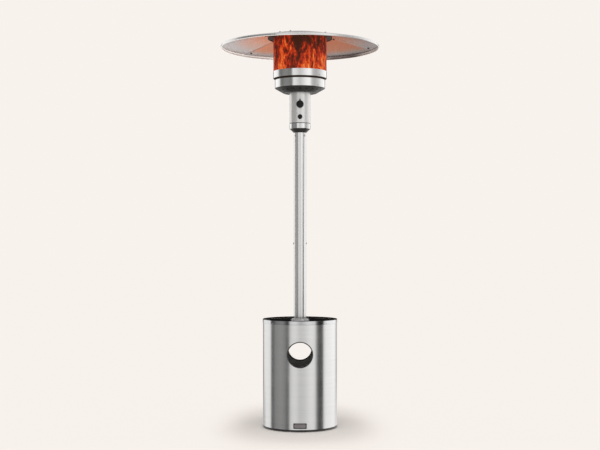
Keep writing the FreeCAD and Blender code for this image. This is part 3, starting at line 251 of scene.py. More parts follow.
def coated(name, colour, roughness, peel_scale=900.0, peel=0.02, dust=0.15, shine=0.5):
    """Paint, plastic or rubber with a fine skin, a little dust and uneven gloss."""
    tree, shader = new_material(name)
    place = object_place(tree)
    patches = noise(tree, place, 18.0, 5.0)
    dusty = tuple(part + (0.35 - part) * dust for part in colour)
    feed(tree, shader, {
        "Base Color": tinted(tree, spread(tree, patches, 0.0, 0.5), colour, dusty),
        "Roughness": spread(tree, patches, roughness - 0.06, roughness + 0.08),
        "Specular IOR Level": shine,
        "Normal": relief(tree, noise(tree, place, peel_scale, 2.0), peel),
    })


def plain_metal(name, colour, roughness, tint=None, scale=60.0, depth=0.01, grain_scale=800.0, metal=1.0):
    """Turned, plated, drawn or cast metal with cloudy tone and a fine surface."""
    tree, shader = new_material(name)
    place = object_place(tree)
    clouds = noise(tree, place, scale, 4.0)
    fine = noise(tree, place, grain_scale, 3.0)
    second = tint or tuple(part * 0.82 for part in colour)
    feed(tree, shader, {
        "Base Color": tinted(tree, spread(tree, clouds, 0.0, 1.0), colour, second),
        "Roughness": spread(tree, fine, roughness - 0.05, roughness + 0.07),
        "Metallic": metal,
        "Normal": relief(tree, fine, depth),
    })


def reflector_underside(name, tones):
    """The lower face of a panel: satin steel, with the burner's glow painted on as a copper tone towards the
    burner, and painted shade at its right end.
    """
    tree, shader = new_material(name)
    place = object_place(tree)
    across = parts_of(tree, place)["X"]
    radius = length_of(tree, object_place(tree, (1, 1, 0)))
    uneven = maths(tree, "ADD", radius, spread(tree, noise(tree, place, 6.0, 3.0), -0.015, 0.015))
    # The painted glow reaches a little further out on the right than on the left, and the right end is
    # darkened: painted shade.
    uneven = maths(tree, "MULTIPLY_ADD", across, -0.02, uneven)
    share = maths(tree, "DIVIDE", uneven, PANEL_REACH)
    painted_shade_right = mapped(tree, across, 0.18, 0.34, 0.0, 0.25)
    straight = ramp(tree, share, [(spot, colour) for spot, colour, edge in tones])
    grazing = ramp(tree, share, [(spot, edge) for spot, colour, edge in tones])
    tone = tinted(tree, painted_shade_right, straight, (0.28, 0.24, 0.22))
    lines = noise(tree, object_place(tree, (500, 6, 6)), 1.0, 3.0)
    feed(tree, shader, {
        "Base Color": tinted(tree, spread(tree, lines, 0.0, 0.10), tone, (0.3, 0.25, 0.22)),
        "Specular Tint": tinted(tree, painted_shade_right, grazing, (0.28, 0.26, 0.25)),
        "Roughness": spread(tree, lines, 0.26, 0.34),
        "Metallic": 1.0,
        "Normal": relief(tree, lines, GRAIN_DEPTH),
    })


def rim_trim():
    """The inside of the reflector's rolled edge: satin, with painted light on the left and painted shade on
    the right.
    """
    tree, shader = new_material("rim_trim")
    place = object_place(tree)
    centre = maths(tree, "ADD", spread(tree, noise(tree, place, 9.0, 3.0), -0.04, 0.04), 0.5)
    share = maths(tree, "MULTIPLY_ADD", parts_of(tree, place)["X"], 0.5 / PANEL_REACH, centre)
    lines = noise(tree, object_place(tree, (6, 6, 700)), 1.0, 3.0)
    tone = ramp(tree, share, RIM_PAINTED_LIGHT_AND_SHADE)
    feed(tree, shader, {
        "Base Color": tinted(tree, spread(tree, lines, 0.0, 0.15), tone, (0.5, 0.48, 0.46)),
        "Roughness": spread(tree, lines, 0.45, 0.55),
        "Metallic": 0.05,
        "Normal": relief(tree, lines, GRAIN_DEPTH),
    })


def rolled_rim():
    """The rim band of the housing: rolled steel, with a painted reflection that darkens two stretches."""
    tree, shader = new_material("rolled_rim")
    across = parts_of(tree, object_place(tree))["X"]
    tone = ramp(tree, maths(tree, "MULTIPLY_ADD", across, 0.5 / reach("shell_rim"), 0.5), BAND_PAINTED_REFLECTION)
    lines = noise(tree, object_place(tree, (3, 3, 900)), 1.0, 4.0)
    feed(tree, shader, {
        "Base Color": tinted(tree, spread(tree, lines, 0.0, 0.1), tone, (0.7, 0.7, 0.69)),
        "Roughness": spread(tree, lines, 0.07, 0.13),
        "Metallic": 1.0,
        "Normal": relief(tree, lines, GRAIN_DEPTH),
    })


def glowing_metal(name, glow):
    """Hot sheet: tongues of orange and red that rise from the burner and darken above."""
    tree, shader = new_material(name)
    parts = parts_of(tree, object_place(tree))
    rise = mapped(tree, parts["Z"], high("upper_band"), high("emitter_screen"))
    tall = object_place(tree, (1.0, 1.0, 0.34))
    ridge = maths(tree, "ABSOLUTE", maths(tree, "SUBTRACT", noise(tree, tall, 24.0, 2.0, 1.2), 0.5))
    sparks = noise(tree, object_place(tree, (1.0, 1.0, 0.6)), 75.0, 3.0, 0.8)
    heat = maths(tree, "MULTIPLY_ADD", rise, -0.28, 0.52)
    for share in (spread(tree, noise(tree, tall, 16.0, 2.0, 0.6), -0.15, 0.15),
                  mapped(tree, ridge, 0.0, 0.10, 0.16, -0.05),
                  spread(tree, noise(tree, tall, 36.0, 3.0, 1.3, 0.6), -0.24, 0.26),
                  spread(tree, sparks, -0.12, 0.14)):
        heat = maths(tree, "ADD", heat, share)
    # A cooler tongue at the top of the front.
    across = maths(tree, "ABSOLUTE", maths(tree, "ADD", parts["X"], 0.008))
    narrowing = maths(tree, "MULTIPLY_ADD", rise, 0.055, -0.010)
    inside = maths(tree, "MULTIPLY", maths(tree, "SUBTRACT", narrowing, across), 40.0, clamp=True)
    tongue = maths(tree, "MULTIPLY", inside, maths(tree, "LESS_THAN", parts["Y"], 0.0))
    heat = maths(tree, "MULTIPLY_ADD", tongue, -0.42, heat)
    feed(tree, shader, {
        "Emission Color": ramp(tree, heat, [(spot, screen_colour(*tone)) for spot, tone in HEAT_TONES]),
        "Emission Strength": glow,
        "Base Color": (0.05, 0.02, 0.012, 1),
        "Metallic": 0.6,
        "Roughness": 0.7,
    })


brushed_steel("brushed_stainless", STAINLESS, 0.17)
brushed_steel("reflector_sheet", (0.78, 0.77, 0.76), 0.30, (500, 6, 6))
brushed_steel("satin_post", (0.83, 0.825, 0.815), 0.17, metal=0.80)
brushed_steel("satin_housing", (0.77, 0.765, 0.755), 0.32, (3, 3, 700), 0.62)
plain_metal("polished_ring", (0.95, 0.95, 0.94), 0.30, metal=0.5)
plain_metal("stainless_screws", (0.62, 0.61, 0.60), 0.25)
plain_metal("zinc_hardware", (0.55, 0.55, 0.53), 0.38, (0.62, 0.58, 0.48))
plain_metal("dark_bolts", (0.14, 0.10, 0.09), 0.45)
plain_metal("burner_steel", (0.35, 0.28, 0.22), 0.4, (0.25, 0.22, 0.30))
plain_metal("cast_iron", (0.10, 0.10, 0.10), 0.65, (0.07, 0.06, 0.055), 40.0, 0.25, 350.0)
plain_metal("brass", (0.72, 0.52, 0.22), 0.3)
plain_metal("aluminium_tube", (0.72, 0.72, 0.73), 0.3)
plain_metal("valve_aluminium", (0.58, 0.58, 0.59), 0.5, depth=0.05)
plain_metal("copper_lead", (0.68, 0.38, 0.25), 0.3)
coated("black_enamel", (0.018, 0.017, 0.016), 0.36, dust=0.04)
coated("dark_steel", (0.050, 0.028, 0.018), 0.6, 500.0, 0.03, 0.03, 0.2)
coated("black_rubber", (0.020, 0.020, 0.020), 0.6, 500.0, 0.05, 0.06)
coated("wheel_plastic", (0.030, 0.030, 0.031), 0.5, 700.0, 0.04, 0.12)
coated("knob_plastic", (0.012, 0.012, 0.012), 0.3, 1500.0, 0.01, 0.02, 0.15)
coated("pointer_paint", (0.42, 0.42, 0.41), 0.4, dust=0.0)
coated("badge_dark", (0.018, 0.016, 0.017), 0.5, 1500.0, 0.01, 0.02, 0.15)
coated("badge_field", (0.20, 0.185, 0.19), 0.5, 1500.0, 0.01, 0.03, 0.2)
coated("matt_lid", (0.014, 0.0135, 0.013), 0.8, 600.0, 0.03, 0.02, 0.0)
coated("shell_inside", (0.80, 0.80, 0.79), 0.6, 300.0, 0.02, 0.1)
glowing_metal("hot_screen", 0.95)
glowing_metal("glowing_gauze", 0.55)
# The copper tones under the panels are the burner's glow, painted on.
reflector_underside("rear_underside", REAR_PAINTED_GLOW)
reflector_underside("front_underside", FRONT_PAINTED_GLOW)
rim_trim()
rolled_rim()


# Meshes

def mesh_object(name, mesh):
    """An object from a mesh, which is used up."""
    data = bpy.data.meshes.new(name)
    mesh.to_mesh(data)
    mesh.free()
    piece = bpy.data.objects.new(name, data)
    bpy.context.scene.collection.objects.link(piece)
    return piece


def solid_object(name, mesh):
    """An object from a closed mesh, its faces turned outwards."""
    bmesh.ops.recalc_face_normals(mesh, faces=mesh.faces)
    return mesh_object(name, mesh)


def evenly(first, last, count):
    """Numbers from one to another in equal steps."""
    return [first + (last - first) * number / count for number in range(count + 1)]


def arc(start, end, count, wide, tall=None, centre=(0, 0)):
    """Points along part of a circle or an ellipse, from one angle to another."""
    return [(centre[0] + wide * math.cos(turn), centre[1] + (tall or wide) * math.sin(turn))
            for turn in evenly(start, end, count)]


def rounded(corners, steps=4):
    """A closed outline of (radius, level) corners, where a third number rounds the corner."""
    points = []
    for number, corner in enumerate(corners):
        here = Vector(corner[:2])
        size = corner[2] * MM if len(corner) > 2 else 0
        if not size:
            points.append(here)
            continue
        before = (Vector(corners[number - 1][:2]) - here).normalized()
        after = (Vector(corners[(number + 1) % len(corners)][:2]) - here).normalized()
        half_angle = before.angle(after) / 2
        setback = size / math.tan(half_angle)
        centre = here + (before + after).normalized() * (size / math.sin(half_angle))
        start, end = here + before * setback, here + after * setback
        for share in evenly(0, 1, steps):
            points.append(centre + (start.lerp(end, share) - centre).normalized() * size)
    return points


def tube(inner, outer, bottom, top, round_in=0, round_out=0):
    """The outline of a round wall with its corners rounded."""
    return rounded([(inner, bottom, round_in), (outer, bottom, round_out), (outer, top, round_out),
                    (inner, top, round_in)])


def wedge(inner, outer, half_in, half_out):
    """A flat outline along X that is as wide as two halves at its ends."""
    return [(inner, -half_in), (outer, -half_out), (outer, half_out), (inner, half_in)]


def bridge(mesh, pairs, steps=None):
    """Faces between pairs of rings, all the way round or for some steps only."""
    for ring, following in pairs:
        for column in range(steps or len(ring)):
            beside = (column + 1) % len(ring)
            corners = dict.fromkeys([ring[column], ring[beside], following[beside], following[column]])
            if len(corners) > 2:
                mesh.faces.new(list(corners))


def lathe(name, outline, steps=128, start=0.0, turn=FULL_TURN):
    """A closed outline of (radius, level) points turned about the Z axis."""
    whole = turn == FULL_TURN
    angles = [start + turn * column / steps for column in range(steps if whole else steps + 1)]
    mesh = bmesh.new()
    rings = []
    for radius, level in outline:
        if radius < 1e-6:
            rings.append([mesh.verts.new((0, 0, level))] * len(angles))
        else:
            rings.append([mesh.verts.new((radius * math.cos(angle), radius * math.sin(angle), level))
                          for angle in angles])
    bridge(mesh, zip(rings, rings[1:] + rings[:1]), steps)
    if not whole:
        mesh.faces.new([ring[0] for ring in rings])
        mesh.faces.new([ring[-1] for ring in reversed(rings)])
    return solid_object(name, mesh)


def slab(name, outline, bottom, top):
    """A flat outline of (x, y) points raised from one level to another."""
    mesh = bmesh.new()
    rings = [[mesh.verts.new((x, y, level)) for x, y in outline] for level in (bottom, top)]
    mesh.faces.new(rings[0])
    mesh.faces.new(rings[1])
    bridge(mesh, [rings])
    return solid_object(name, mesh)


def drill(radius, start, end, steps):
    """A rod along the Z axis that cuts a round hole."""
    return lathe("drill", [(0, start), (radius, start), (radius, end), (0, end)], steps)


def bake(piece):
    """Turn a piece's modifiers into its plain mesh."""
    graph = bpy.context.evaluated_depsgraph_get()
    result = bpy.data.meshes.new_from_object(piece.evaluated_get(graph))
    piece.modifiers.clear()
    former, piece.data = piece.data, result
    bpy.data.meshes.remove(former)
    return piece


def modified(piece, kind, **settings):
    modifier = piece.modifiers.new(kind, kind)
    for name, setting in settings.items():
        setattr(modifier, name, setting)
    return bake(piece)


def cut(piece, tool):
    """Cut a tool's shape, which is used up, out of a piece."""
    modified(piece, "BOOLEAN", object=tool, solver="EXACT")
    bpy.data.objects.remove(tool)


def bevelled(piece, width, segments=2):
    return modified(piece, "BEVEL", width=width, segments=segments, limit_method="ANGLE",
                    angle_limit=math.radians(40))


def joined(name, *pieces):
    """One mesh from several pieces that belong to one sub-part."""
    mesh = bmesh.new()
    for piece in pieces:
        mesh.from_mesh(piece.data)
        bpy.data.objects.remove(piece)
    return mesh_object(name, mesh)


def moved(piece, matrix):
    piece.data.transform(matrix)
    return piece


def soften(piece):
    """Smooth shading with the sharper edges left sharp. The normals follow the larger faces, so
    that a wall stays flat next to its rounded edge."""
    mesh = bmesh.new()
    mesh.from_mesh(piece.data)
    for face in mesh.faces:
        face.smooth = True
    for edge in mesh.edges:
        edge.smooth = edge.calc_face_angle(0) < math.radians(35)
    mesh.to_mesh(piece.data)
    mesh.free()
    modified(piece, "WEIGHTED_NORMAL", keep_sharp=True)


def fit(piece, *nodes, finish=None):
    """Finish a piece and let it stand for its CAD nodes, on their body."""
    slot = SLOT_OF[nodes[0]]
    piece.data.materials.clear()
    piece.data.materials.append(MATERIALS[finish or slot])
    soften(piece)
    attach(piece, BODY_OF[nodes[0]])
    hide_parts(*nodes)
    return piece


def turned(name, node, corners, steps=128, finish=None, corner_steps=4):
    """A piece turned from its section, which stands for one CAD node."""
    return fit(lathe(name + "_made", rounded(corners, corner_steps), steps), node, finish=finish)


def paint(piece, finish, chosen):
    """Give the chosen faces of a finished piece another finish."""
    piece.data.materials.append(MATERIALS[finish])
    for face in piece.data.polygons:
        if chosen(face):
            face.material_index = len(piece.data.materials) - 1


def looks_in(face, share=0.3):
    """Whether a face looks towards the axis."""
    return face.normal.xy.dot(face.center.xy) < -share * face.center.xy.length


# Repeats made by geometry nodes

def new_tree(name, kinds):
    """A geometry tree with inputs of the given kinds and a finish, and its two ends."""
    tree = bpy.data.node_groups.new(name, "GeometryNodeTree")
    for way in ("INPUT", "OUTPUT"):
        tree.interface.new_socket("Geometry", in_out=way, socket_type="NodeSocketGeometry")
    for label, kind in {"Pattern": "Object", **kinds, "Finish": "Material"}.items():
        tree.interface.new_socket(label, in_out="INPUT", socket_type="NodeSocket" + kind)
    return tree, add(tree, "NodeGroupInput").outputs, add(tree, "NodeGroupOutput")


def instances(tree, given, spots, **inputs):
    """Copies of the pattern on points."""
    pattern = add(tree, "GeometryNodeObjectInfo", {"Object": given["Pattern"]}).outputs["Geometry"]
    inputs = {"Points": spots, "Instance": pattern, **inputs}
    return add(tree, "GeometryNodeInstanceOnPoints", inputs).outputs[0]


def end_tree(tree, given, output, geometry):
    real = add(tree, "GeometryNodeRealizeInstances", {0: geometry}).outputs[0]
    done = add(tree, "GeometryNodeSetMaterial", {"Geometry": real, "Material": given["Finish"]})
    tree.links.new(done.outputs[0], output.inputs[0])


def ring_tree():
    """Copies of a pattern turned about the Z axis, evenly all the way round."""
    tree, given, output = new_tree("ring_of_copies", {"Count": "Int", "Start": "Float"})
    spots = add(tree, "GeometryNodePoints", {"Count": given["Count"]}).outputs[0]
    index = add(tree, "GeometryNodeInputIndex").outputs[0]
    step = maths(tree, "DIVIDE", FULL_TURN, given["Count"])
    angle = maths(tree, "MULTIPLY_ADD", index, step, given["Start"])
    euler = add(tree, "ShaderNodeCombineXYZ", {"Z": angle}).outputs[0]
    turn = add(tree, "FunctionNodeEulerToRotation", {0: euler}).outputs[0]
    end_tree(tree, given, output, instances(tree, given, spots, Rotation=turn))
    return tree


def sheet_tree():
    """Copies of a cell in staggered rows, rolled round the Z axis into a closed wall."""
    tree, given, output = new_tree("rolled_sheet", {
        "Columns": "Int", "Rows": "Int", "Pitch": "Float", "Row rise": "Float", "Radius": "Float",
        "Level": "Float"})
    columns = given["Columns"]
    total = maths(tree, "MULTIPLY", columns, given["Rows"])
    index = add(tree, "GeometryNodeInputIndex").outputs[0]
    row = maths(tree, "FLOOR", maths(tree, "DIVIDE", maths(tree, "ADD", index, 0.5), columns))
    column = maths(tree, "SUBTRACT", index, maths(tree, "MULTIPLY", row, columns))
    stagger = maths(tree, "MULTIPLY", maths(tree, "MODULO", row, 2.0), 0.5)
    across = maths(tree, "MULTIPLY", maths(tree, "ADD", column, stagger), given["Pitch"])
    up = maths(tree, "MULTIPLY_ADD", row, given["Row rise"], given["Level"])
    place = add(tree, "ShaderNodeCombineXYZ", {"X": across, "Z": up}).outputs[0]
    spots = add(tree, "GeometryNodePoints", {"Count": total, "Position": place}).outputs[0]
    flat = add(tree, "GeometryNodeRealizeInstances", {0: instances(tree, given, spots)}).outputs[0]
    parts = parts_of(tree, add(tree, "GeometryNodeInputPosition").outputs[0])
    angle = maths(tree, "DIVIDE", parts["X"], given["Radius"])
    radius = maths(tree, "ADD", given["Radius"], parts["Y"])
    rolled = add(tree, "ShaderNodeCombineXYZ", {
        "X": maths(tree, "MULTIPLY", radius, maths(tree, "COSINE", angle)),
        "Y": maths(tree, "MULTIPLY", radius, maths(tree, "SINE", angle)),
        "Z": parts["Z"]}).outputs[0]
    bent = add(tree, "GeometryNodeSetPosition", {"Geometry": flat, "Position": rolled}).outputs[0]
    welded = add(tree, "GeometryNodeMergeByDistance", {"Geometry": bent, "Distance": 0.02 * MM}).outputs[0]
    end_tree(tree, given, output, welded)
    return tree


RING = ring_tree()
ROLLED_SHEET = sheet_tree()


def grown(name, tree, finish, pattern, values):
    """The plain mesh that a tree makes from a pattern, which is used up."""
    piece = mesh_object(name, bmesh.new())
    modifier = piece.modifiers.new(tree.name, "NODES")
    modifier.node_group = tree
    sockets = {item.name: item.identifier for item in tree.interface.items_tree if item.in_out == "INPUT"}
    for label, setting in {"Pattern": pattern, **values, "Finish": MATERIALS[finish]}.items():
        modifier[sockets[label]] = setting
    bake(piece)
    bpy.data.objects.remove(pattern)
    return piece


def ring_of(name, pattern, count, start=0.0):
    """Copies of a pattern all the way round the axis. start is in degrees."""
    return grown(name, RING, "stainless_screws", pattern, {"Count": count, "Start": math.radians(start)})


# Fasteners, each modelled standing on the origin with its head up

# Radius and height of the head and radius of the shank. A nut has the height of its dome instead.
SCREW = 5 * MM, 4.2 * MM, 2.4 * MM
SMALL_SCREW = 3.2 * MM, 1.68 * MM, 1.6 * MM
RIVET = 3.2 * MM, 1.4 * MM, 1.6 * MM
BOLT = 5.5 * MM, 3 * MM, 3 * MM
NUT = 5.4 * MM, 3 * MM, 2.5 * MM
FACE_OUT = Matrix.Rotation(QUARTER, 4, "Y")
HEAD_DOWN = Matrix.Rotation(math.pi, 4, "X")


def shank(radius, length):
    return lathe("shank", tube(0, radius, -length, 0.1 * MM), 16)


def pan_screw(radius, height, stem, length):
    """A domed screw with a cross recess."""
    dome = [(0, 0), (radius, 0), (radius, height * 0.5, radius * 0.2 / MM),
            (radius * 0.62, height, radius * 0.5 / MM), (0, height)]
    head = lathe("screw_head", rounded(dome, 3), 24)
    narrow, long = radius * 0.13, radius * 0.56
    for half, half_across in ((narrow, long), (long, narrow)):
        cut(head, slab("recess", wedge(-half, half, half_across, half_across), height * 0.45, height * 2))
    return joined("screw", head, shank(stem, length))


def dome_rivet(radius, height, stem, length):
    dome = [(0, 0), (radius, 0)] + arc(0.15, QUARTER, 5, radius, height)[:-1] + [(0, height)]
    return joined("rivet", lathe("rivet_head", dome, 20), shank(stem, length))


def hexagon(name, radius, height):
    outline = arc(0, FULL_TURN * 5 / 6, 5, radius)
    return bevelled(slab(name, outline, 0, height), height * 0.12)


def hex_bolt(radius, height, stem, length):
    return joined("bolt", hexagon("bolt_head", radius, height), shank(stem, length))


def domed_nut(radius, height, dome):
    """A hexagon nut closed by a dome."""
    flat = radius * 0.8
    cap = [(0, height * 0.5), (flat, height * 0.5)] + arc(0, QUARTER, 6, flat, dome, (0, height))[:-1]
    cap.append((0, height + dome))
    return joined("nut", hexagon("nut_base", radius, height), lathe("nut_dome", cap, 24))


def at(radius, level, lean=0.0):
    """A place on the X side of the axis, leaning outwards by an angle."""
    return Matrix.Translation((radius, 0, level)) @ Matrix.Rotation(lean, 4, "Y")


def driven(name, head, node, level, count, start=0.0):
    """Heads evenly round the wall of a node, their shanks towards the axis."""
    return ring_of(name, moved(head, at(reach(node), level) @ FACE_OUT), count, start)


def wall_fasteners():
    """Screws through the post, the collar and the burner bands, and rivets in the housing's rim."""
    stem = 4 * MM
    for node, size, wall, count, start in (
            ("post_screws", SCREW, "upper_post", 2, 0), ("head_screws", SCREW, "upper_post", 4, 45),
            ("housing_screws", SMALL_SCREW, "housing_collar", 2, 0)):
        fit(driven(node + "_made", pan_screw(*size, stem), wall, middle(node), count, start), node)
    head = SMALL_SCREW[0]
    levels = {"lower_band": low("band_screws") + head, "upper_band": high("band_screws") - head}
    sets = [driven("band_set", pan_screw(*SMALL_SCREW, stem), band, level, 4, 45)
            for band, level in levels.items()]
    fit(joined("band_screws_made", *sets), "band_screws")
    rivet = dome_rivet(*RIVET, 4.4 * MM)
    rivets = driven("cover_rivets_made", rivet, "shell_rim", middle("cover_rivets"), 4, 45)
    # The rivets share the band's finish, painted reflection included.
    fit(rivets, "cover_rivets", finish="rolled_rim")


# Reflector

PANELS = ["reflector_panel_" + letter for letter in "abc"]
SHEET = 1 * MM
CROWN_FLAT, CROWN_TOP = 137 * MM, high("reflector_crown")
PANEL_INNER, PANEL_DROP = 141 * MM, 55 * MM
RIM_RADIUS, RIM_LOW = max(map(reach, PANELS)), min(map(low, PANELS))
SLOPE = (PANEL_DROP - SHEET) / (RIM_RADIUS - CROWN_FLAT)
LEAN = math.atan(SLOPE)
# In degrees: the first seam, how far before its seam a panel starts and how far it turns, then
# how far before the panel's end the lap under it starts and how far that turns.
SEAM_TURN, PANEL_LEAD, PANEL_TURN, LAP_LEAD, LAP_TURN = 15, 2.2, 119.8, 2, 7.4
# Each ring of bolts: its radius, its turn from the seams in degrees, and how many sheets lie
# below the top of the cone there and between the bolt's head and its nut.
INNER_RING, OUTER_RING = 181 * MM, 370 * MM
BOLT_RINGS = [(INNER_RING, 0, 2, 3), (INNER_RING, 60, 1, 2), (OUTER_RING, 0, 2, 2)]


def cone_level(radius):
    """The level of the top of the panels at a radius."""
    return CROWN_TOP - SHEET - (radius - CROWN_FLAT) * SLOPE


def crown():
    skirt, under = reach("reflector_crown"), CROWN_TOP - SHEET
    edge = cone_level(skirt)
    turned("crown", "reflector_crown", [
        (0, under), (CROWN_FLAT, under, 5), (skirt, edge, 0.4), (skirt, edge + SHEET, 0.4),
        (CROWN_FLAT, CROWN_TOP, 6), (0, CROWN_TOP)], 180)


def panel_outline():
    """The section of a panel: a sloping sheet whose rim turns down and ends in a rolled edge."""
    roll, lip = 2.2 * MM, RIM_RADIUS - 1.5 * MM
    inside = RIM_RADIUS - roll * 2.1
    slope = [(radius, cone_level(radius)) for radius in evenly(PANEL_INNER, RIM_RADIUS - 12 * MM, 8)]
    under = [(radius, level - SHEET) for radius, level in reversed(slope)]
    rim = [(RIM_RADIUS, cone_level(RIM_RADIUS), 5), (RIM_RADIUS, RIM_LOW, 2.2), (inside, RIM_LOW, 2.2),
           (inside, RIM_LOW + roll * 2, 1.98), (lip, RIM_LOW + roll * 2.1, 0.3),
           (lip, cone_level(lip) - SHEET, 3.5)]
    return rounded(slope + rim + under, 5)


def panels():
    inner, outer = PANEL_INNER, RIM_RADIUS - 9 * MM
    strip = [(radius, cone_level(radius) - SHEET * sheets)
             for radius, sheets in ((inner, 1), (outer, 1), (outer, 2), (inner, 2))]
    turn = math.radians(PANEL_TURN)
    for number, node in enumerate(PANELS):
        start = math.radians(SEAM_TURN - PANEL_LEAD + 120 * number)
        skin = lathe(node + "_skin", panel_outline(), 72, start, turn)
        lap_start = start + turn - math.radians(LAP_LEAD)
        lap = lathe(node + "_lap", strip, 6, lap_start, math.radians(LAP_TURN))
        piece = fit(joined(node + "_made", skin, lap), node)
        # The lower faces of the panels take the burner's painted glow.
        paint(piece, "front_underside" if number else "rear_underside", lambda face: face.normal.z < -0.3)
        # The inside of the rim takes painted light on the left and painted shade on the right.
        paint(piece, "rim_trim", lambda face: face.center.xy.length > RIM_RADIUS - 7 * MM
              and (looks_in(face) or face.normal.z < -0.3))


def reflector_fasteners():
    bolts, nuts = [], []
    for radius, start, below, sheets in BOLT_RINGS:
        under = cone_level(radius) - below * SHEET
        top = under + sheets * SHEET / math.cos(LEAN)
        bolt = moved(hex_bolt(*BOLT, sheets * SHEET + 3.5 * MM), at(radius, under, LEAN) @ HEAD_DOWN)
        bolts.append(ring_of("bolt_set", bolt, 3, SEAM_TURN + start))
        nuts.append(ring_of("nut_set", moved(domed_nut(*NUT), at(radius, top, LEAN)), 3, SEAM_TURN + start))
    nuts.append(ring_of("crown_set", moved(domed_nut(*NUT), at(100 * MM, CROWN_TOP)), 3, SEAM_TURN))
    fit(joined("reflector_bolts_made", *bolts), "reflector_bolts")
    fit(joined("reflector_nuts_made", *nuts), "reflector_nuts")


# Burner

def perforated_cell(pitch, corner, hole, thick):
    """A six-sided tile of sheet in the XZ plane with a round hole, its outer face at Y zero."""
    mesh = bmesh.new()
    rings = [[], [], [], []]
    for side in range(12):
        turn = side * FULL_TURN / 12
        outer = corner if side % 2 else pitch / 2
        for ring, radius, depth in zip(rings, (outer, hole, hole, outer), (0, 0, -thick, -thick)):
            ring.append(mesh.verts.new((radius * math.cos(turn), depth, radius * math.sin(turn))))
    bridge(mesh, zip(rings, rings[1:]))
    return mesh_object("cell", mesh)


def perforated_screen():
    """The screen, a rolled perforated sheet between two plain edges, and the hot lining behind it."""
    outer, bottom, top = extent("emitter_screen")
    sheet, overlap = 0.8 * MM, 0.4 * MM
    inner = outer - sheet
    columns = 96
    pitch = FULL_TURN * outer / columns
    corner, row_rise = pitch / math.sqrt(3), pitch * math.sqrt(3) / 2
    first = high("upper_band") + 1.5 * MM + corner
    rows = int((top - 4 * MM - corner - first) / row_rise) + 1
    holes = grown("holes", ROLLED_SHEET, "hot_screen", perforated_cell(pitch, corner, pitch * 0.23, sheet), {
        "Columns": columns, "Rows": rows, "Pitch": pitch, "Row rise": row_rise, "Radius": outer,
        "Level": first})
    lowest, highest = first - corner * 0.5, first + (rows - 1) * row_rise + corner * 0.5
    edges = [lathe("edge", tube(inner, outer, start, end), 192)
             for start, end in ((bottom, lowest + overlap), (highest - overlap, top))]
    fit(joined("screen_made", holes, *edges), "emitter_screen")
    gauze = lathe("screen_gauze", tube(inner - 0.9 * MM, inner - 0.3 * MM, bottom, top), 192)
    gauze.data.materials.append(MATERIALS["glowing_gauze"])
    soften(gauze)
    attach(gauze, BODY_OF["emitter_screen"])


def bands():
    """The two burner bands, each with a rolled lower edge, and a ledge inside the lower one's top."""
    for node, ledge in (("lower_band", 16 * MM), ("upper_band", 0)):
        outer, bottom, top = extent(node)
        inner = outer - SHEET
        foot = [(inner, bottom, 0.3), (outer, bottom, 0.6)]
        plain = [(outer, top, 0.5), (inner, top, 0.3)]
        ledged = [(outer, top, 1.4), (outer - ledge, top), (outer - ledge, top - SHEET),
                  (inner, top - SHEET, 0.4)]
        turned(node, node, foot + (ledged if ledge else plain), 192)


def dish():
    """The pressed dish under the burner, with two rings of round vents."""
    sheet, floor, bore, vent = 1.3 * MM, 85 * MM, 46 * MM, 4.5 * MM
    outer, bottom, top = reach("lower_band"), low("burner_dish"), high("burner_dish")
    wall_top, lip = low("lower_band"), outer - sheet
    piece = lathe("dish_made", rounded([
        (bore, bottom), (floor, bottom, 5), (outer, wall_top, 0.3), (lip, wall_top), (lip, top),
        (lip - sheet, top), (lip - sheet, wall_top, 0.5), (floor - sheet / 2, bottom + sheet, 4),
        (bore, bottom + sheet)]), 160)
    for radius in (68 * MM, (floor + outer) / 2):
        rod = moved(drill(vent, bottom - MM, wall_top - 2 * MM, 16), at(radius, 0))
        cut(piece, ring_of("drills", rod, 20))
    fit(piece, "burner_dish")


def top_plate():
    """The plate on top of the screen, with a small turned-down edge."""
    outer, bottom, top = extent("emitter_top_plate")
    sheet = 1.2 * MM
    turned("top_plate", "emitter_top_plate", [
        (0, top - sheet), (outer - sheet, top - sheet, 1), (outer - sheet, bottom, 0.3),
        (outer, bottom, 0.5), (outer, top, 2), (0, top)], 160)


# Controls

KNOB_LEVEL, IGNITER_LEVEL = middle("valve_stem"), middle("igniter_body")
KNOB_HOLE, IGNITER_HOLE = 7.8 * MM, 11.3 * MM
SPIGOT = 29.7 * MM


def forward(piece, level):
    """Turn a piece that stands on the origin so that it faces -Y, at a level on the post's axis."""
    return moved(piece, Matrix.Translation((0, 0, level)) @ Matrix.Rotation(QUARTER, 4, "X"))


def head_socket():
    """The cone on top of the post, and the collar above it."""
    outer, bottom, top = extent("head_socket")
    inner, bore, sheet, base = 28.2 * MM, 12 * MM, 2 * MM, high("upper_post")
    turned("head_socket", "head_socket", [
        (inner, bottom), (SPIGOT, bottom), (SPIGOT, base), (reach("upper_post"), base, 1), (outer, top, 1.2),
        (bore, top), (bore, top - sheet), (outer - 4.5 * MM, top - sheet), (inner, base)], 96)
    outer, bottom, top = extent("housing_collar")
    sheet, bore = 1.5 * MM, outer - 10.5 * MM
    turned("collar", "housing_collar", [
        (bore, bottom), (outer, bottom, 2), (outer, top, 0.7), (outer - sheet, top),
        (outer - sheet, bottom + sheet, 0.6), (bore, bottom + sheet)])


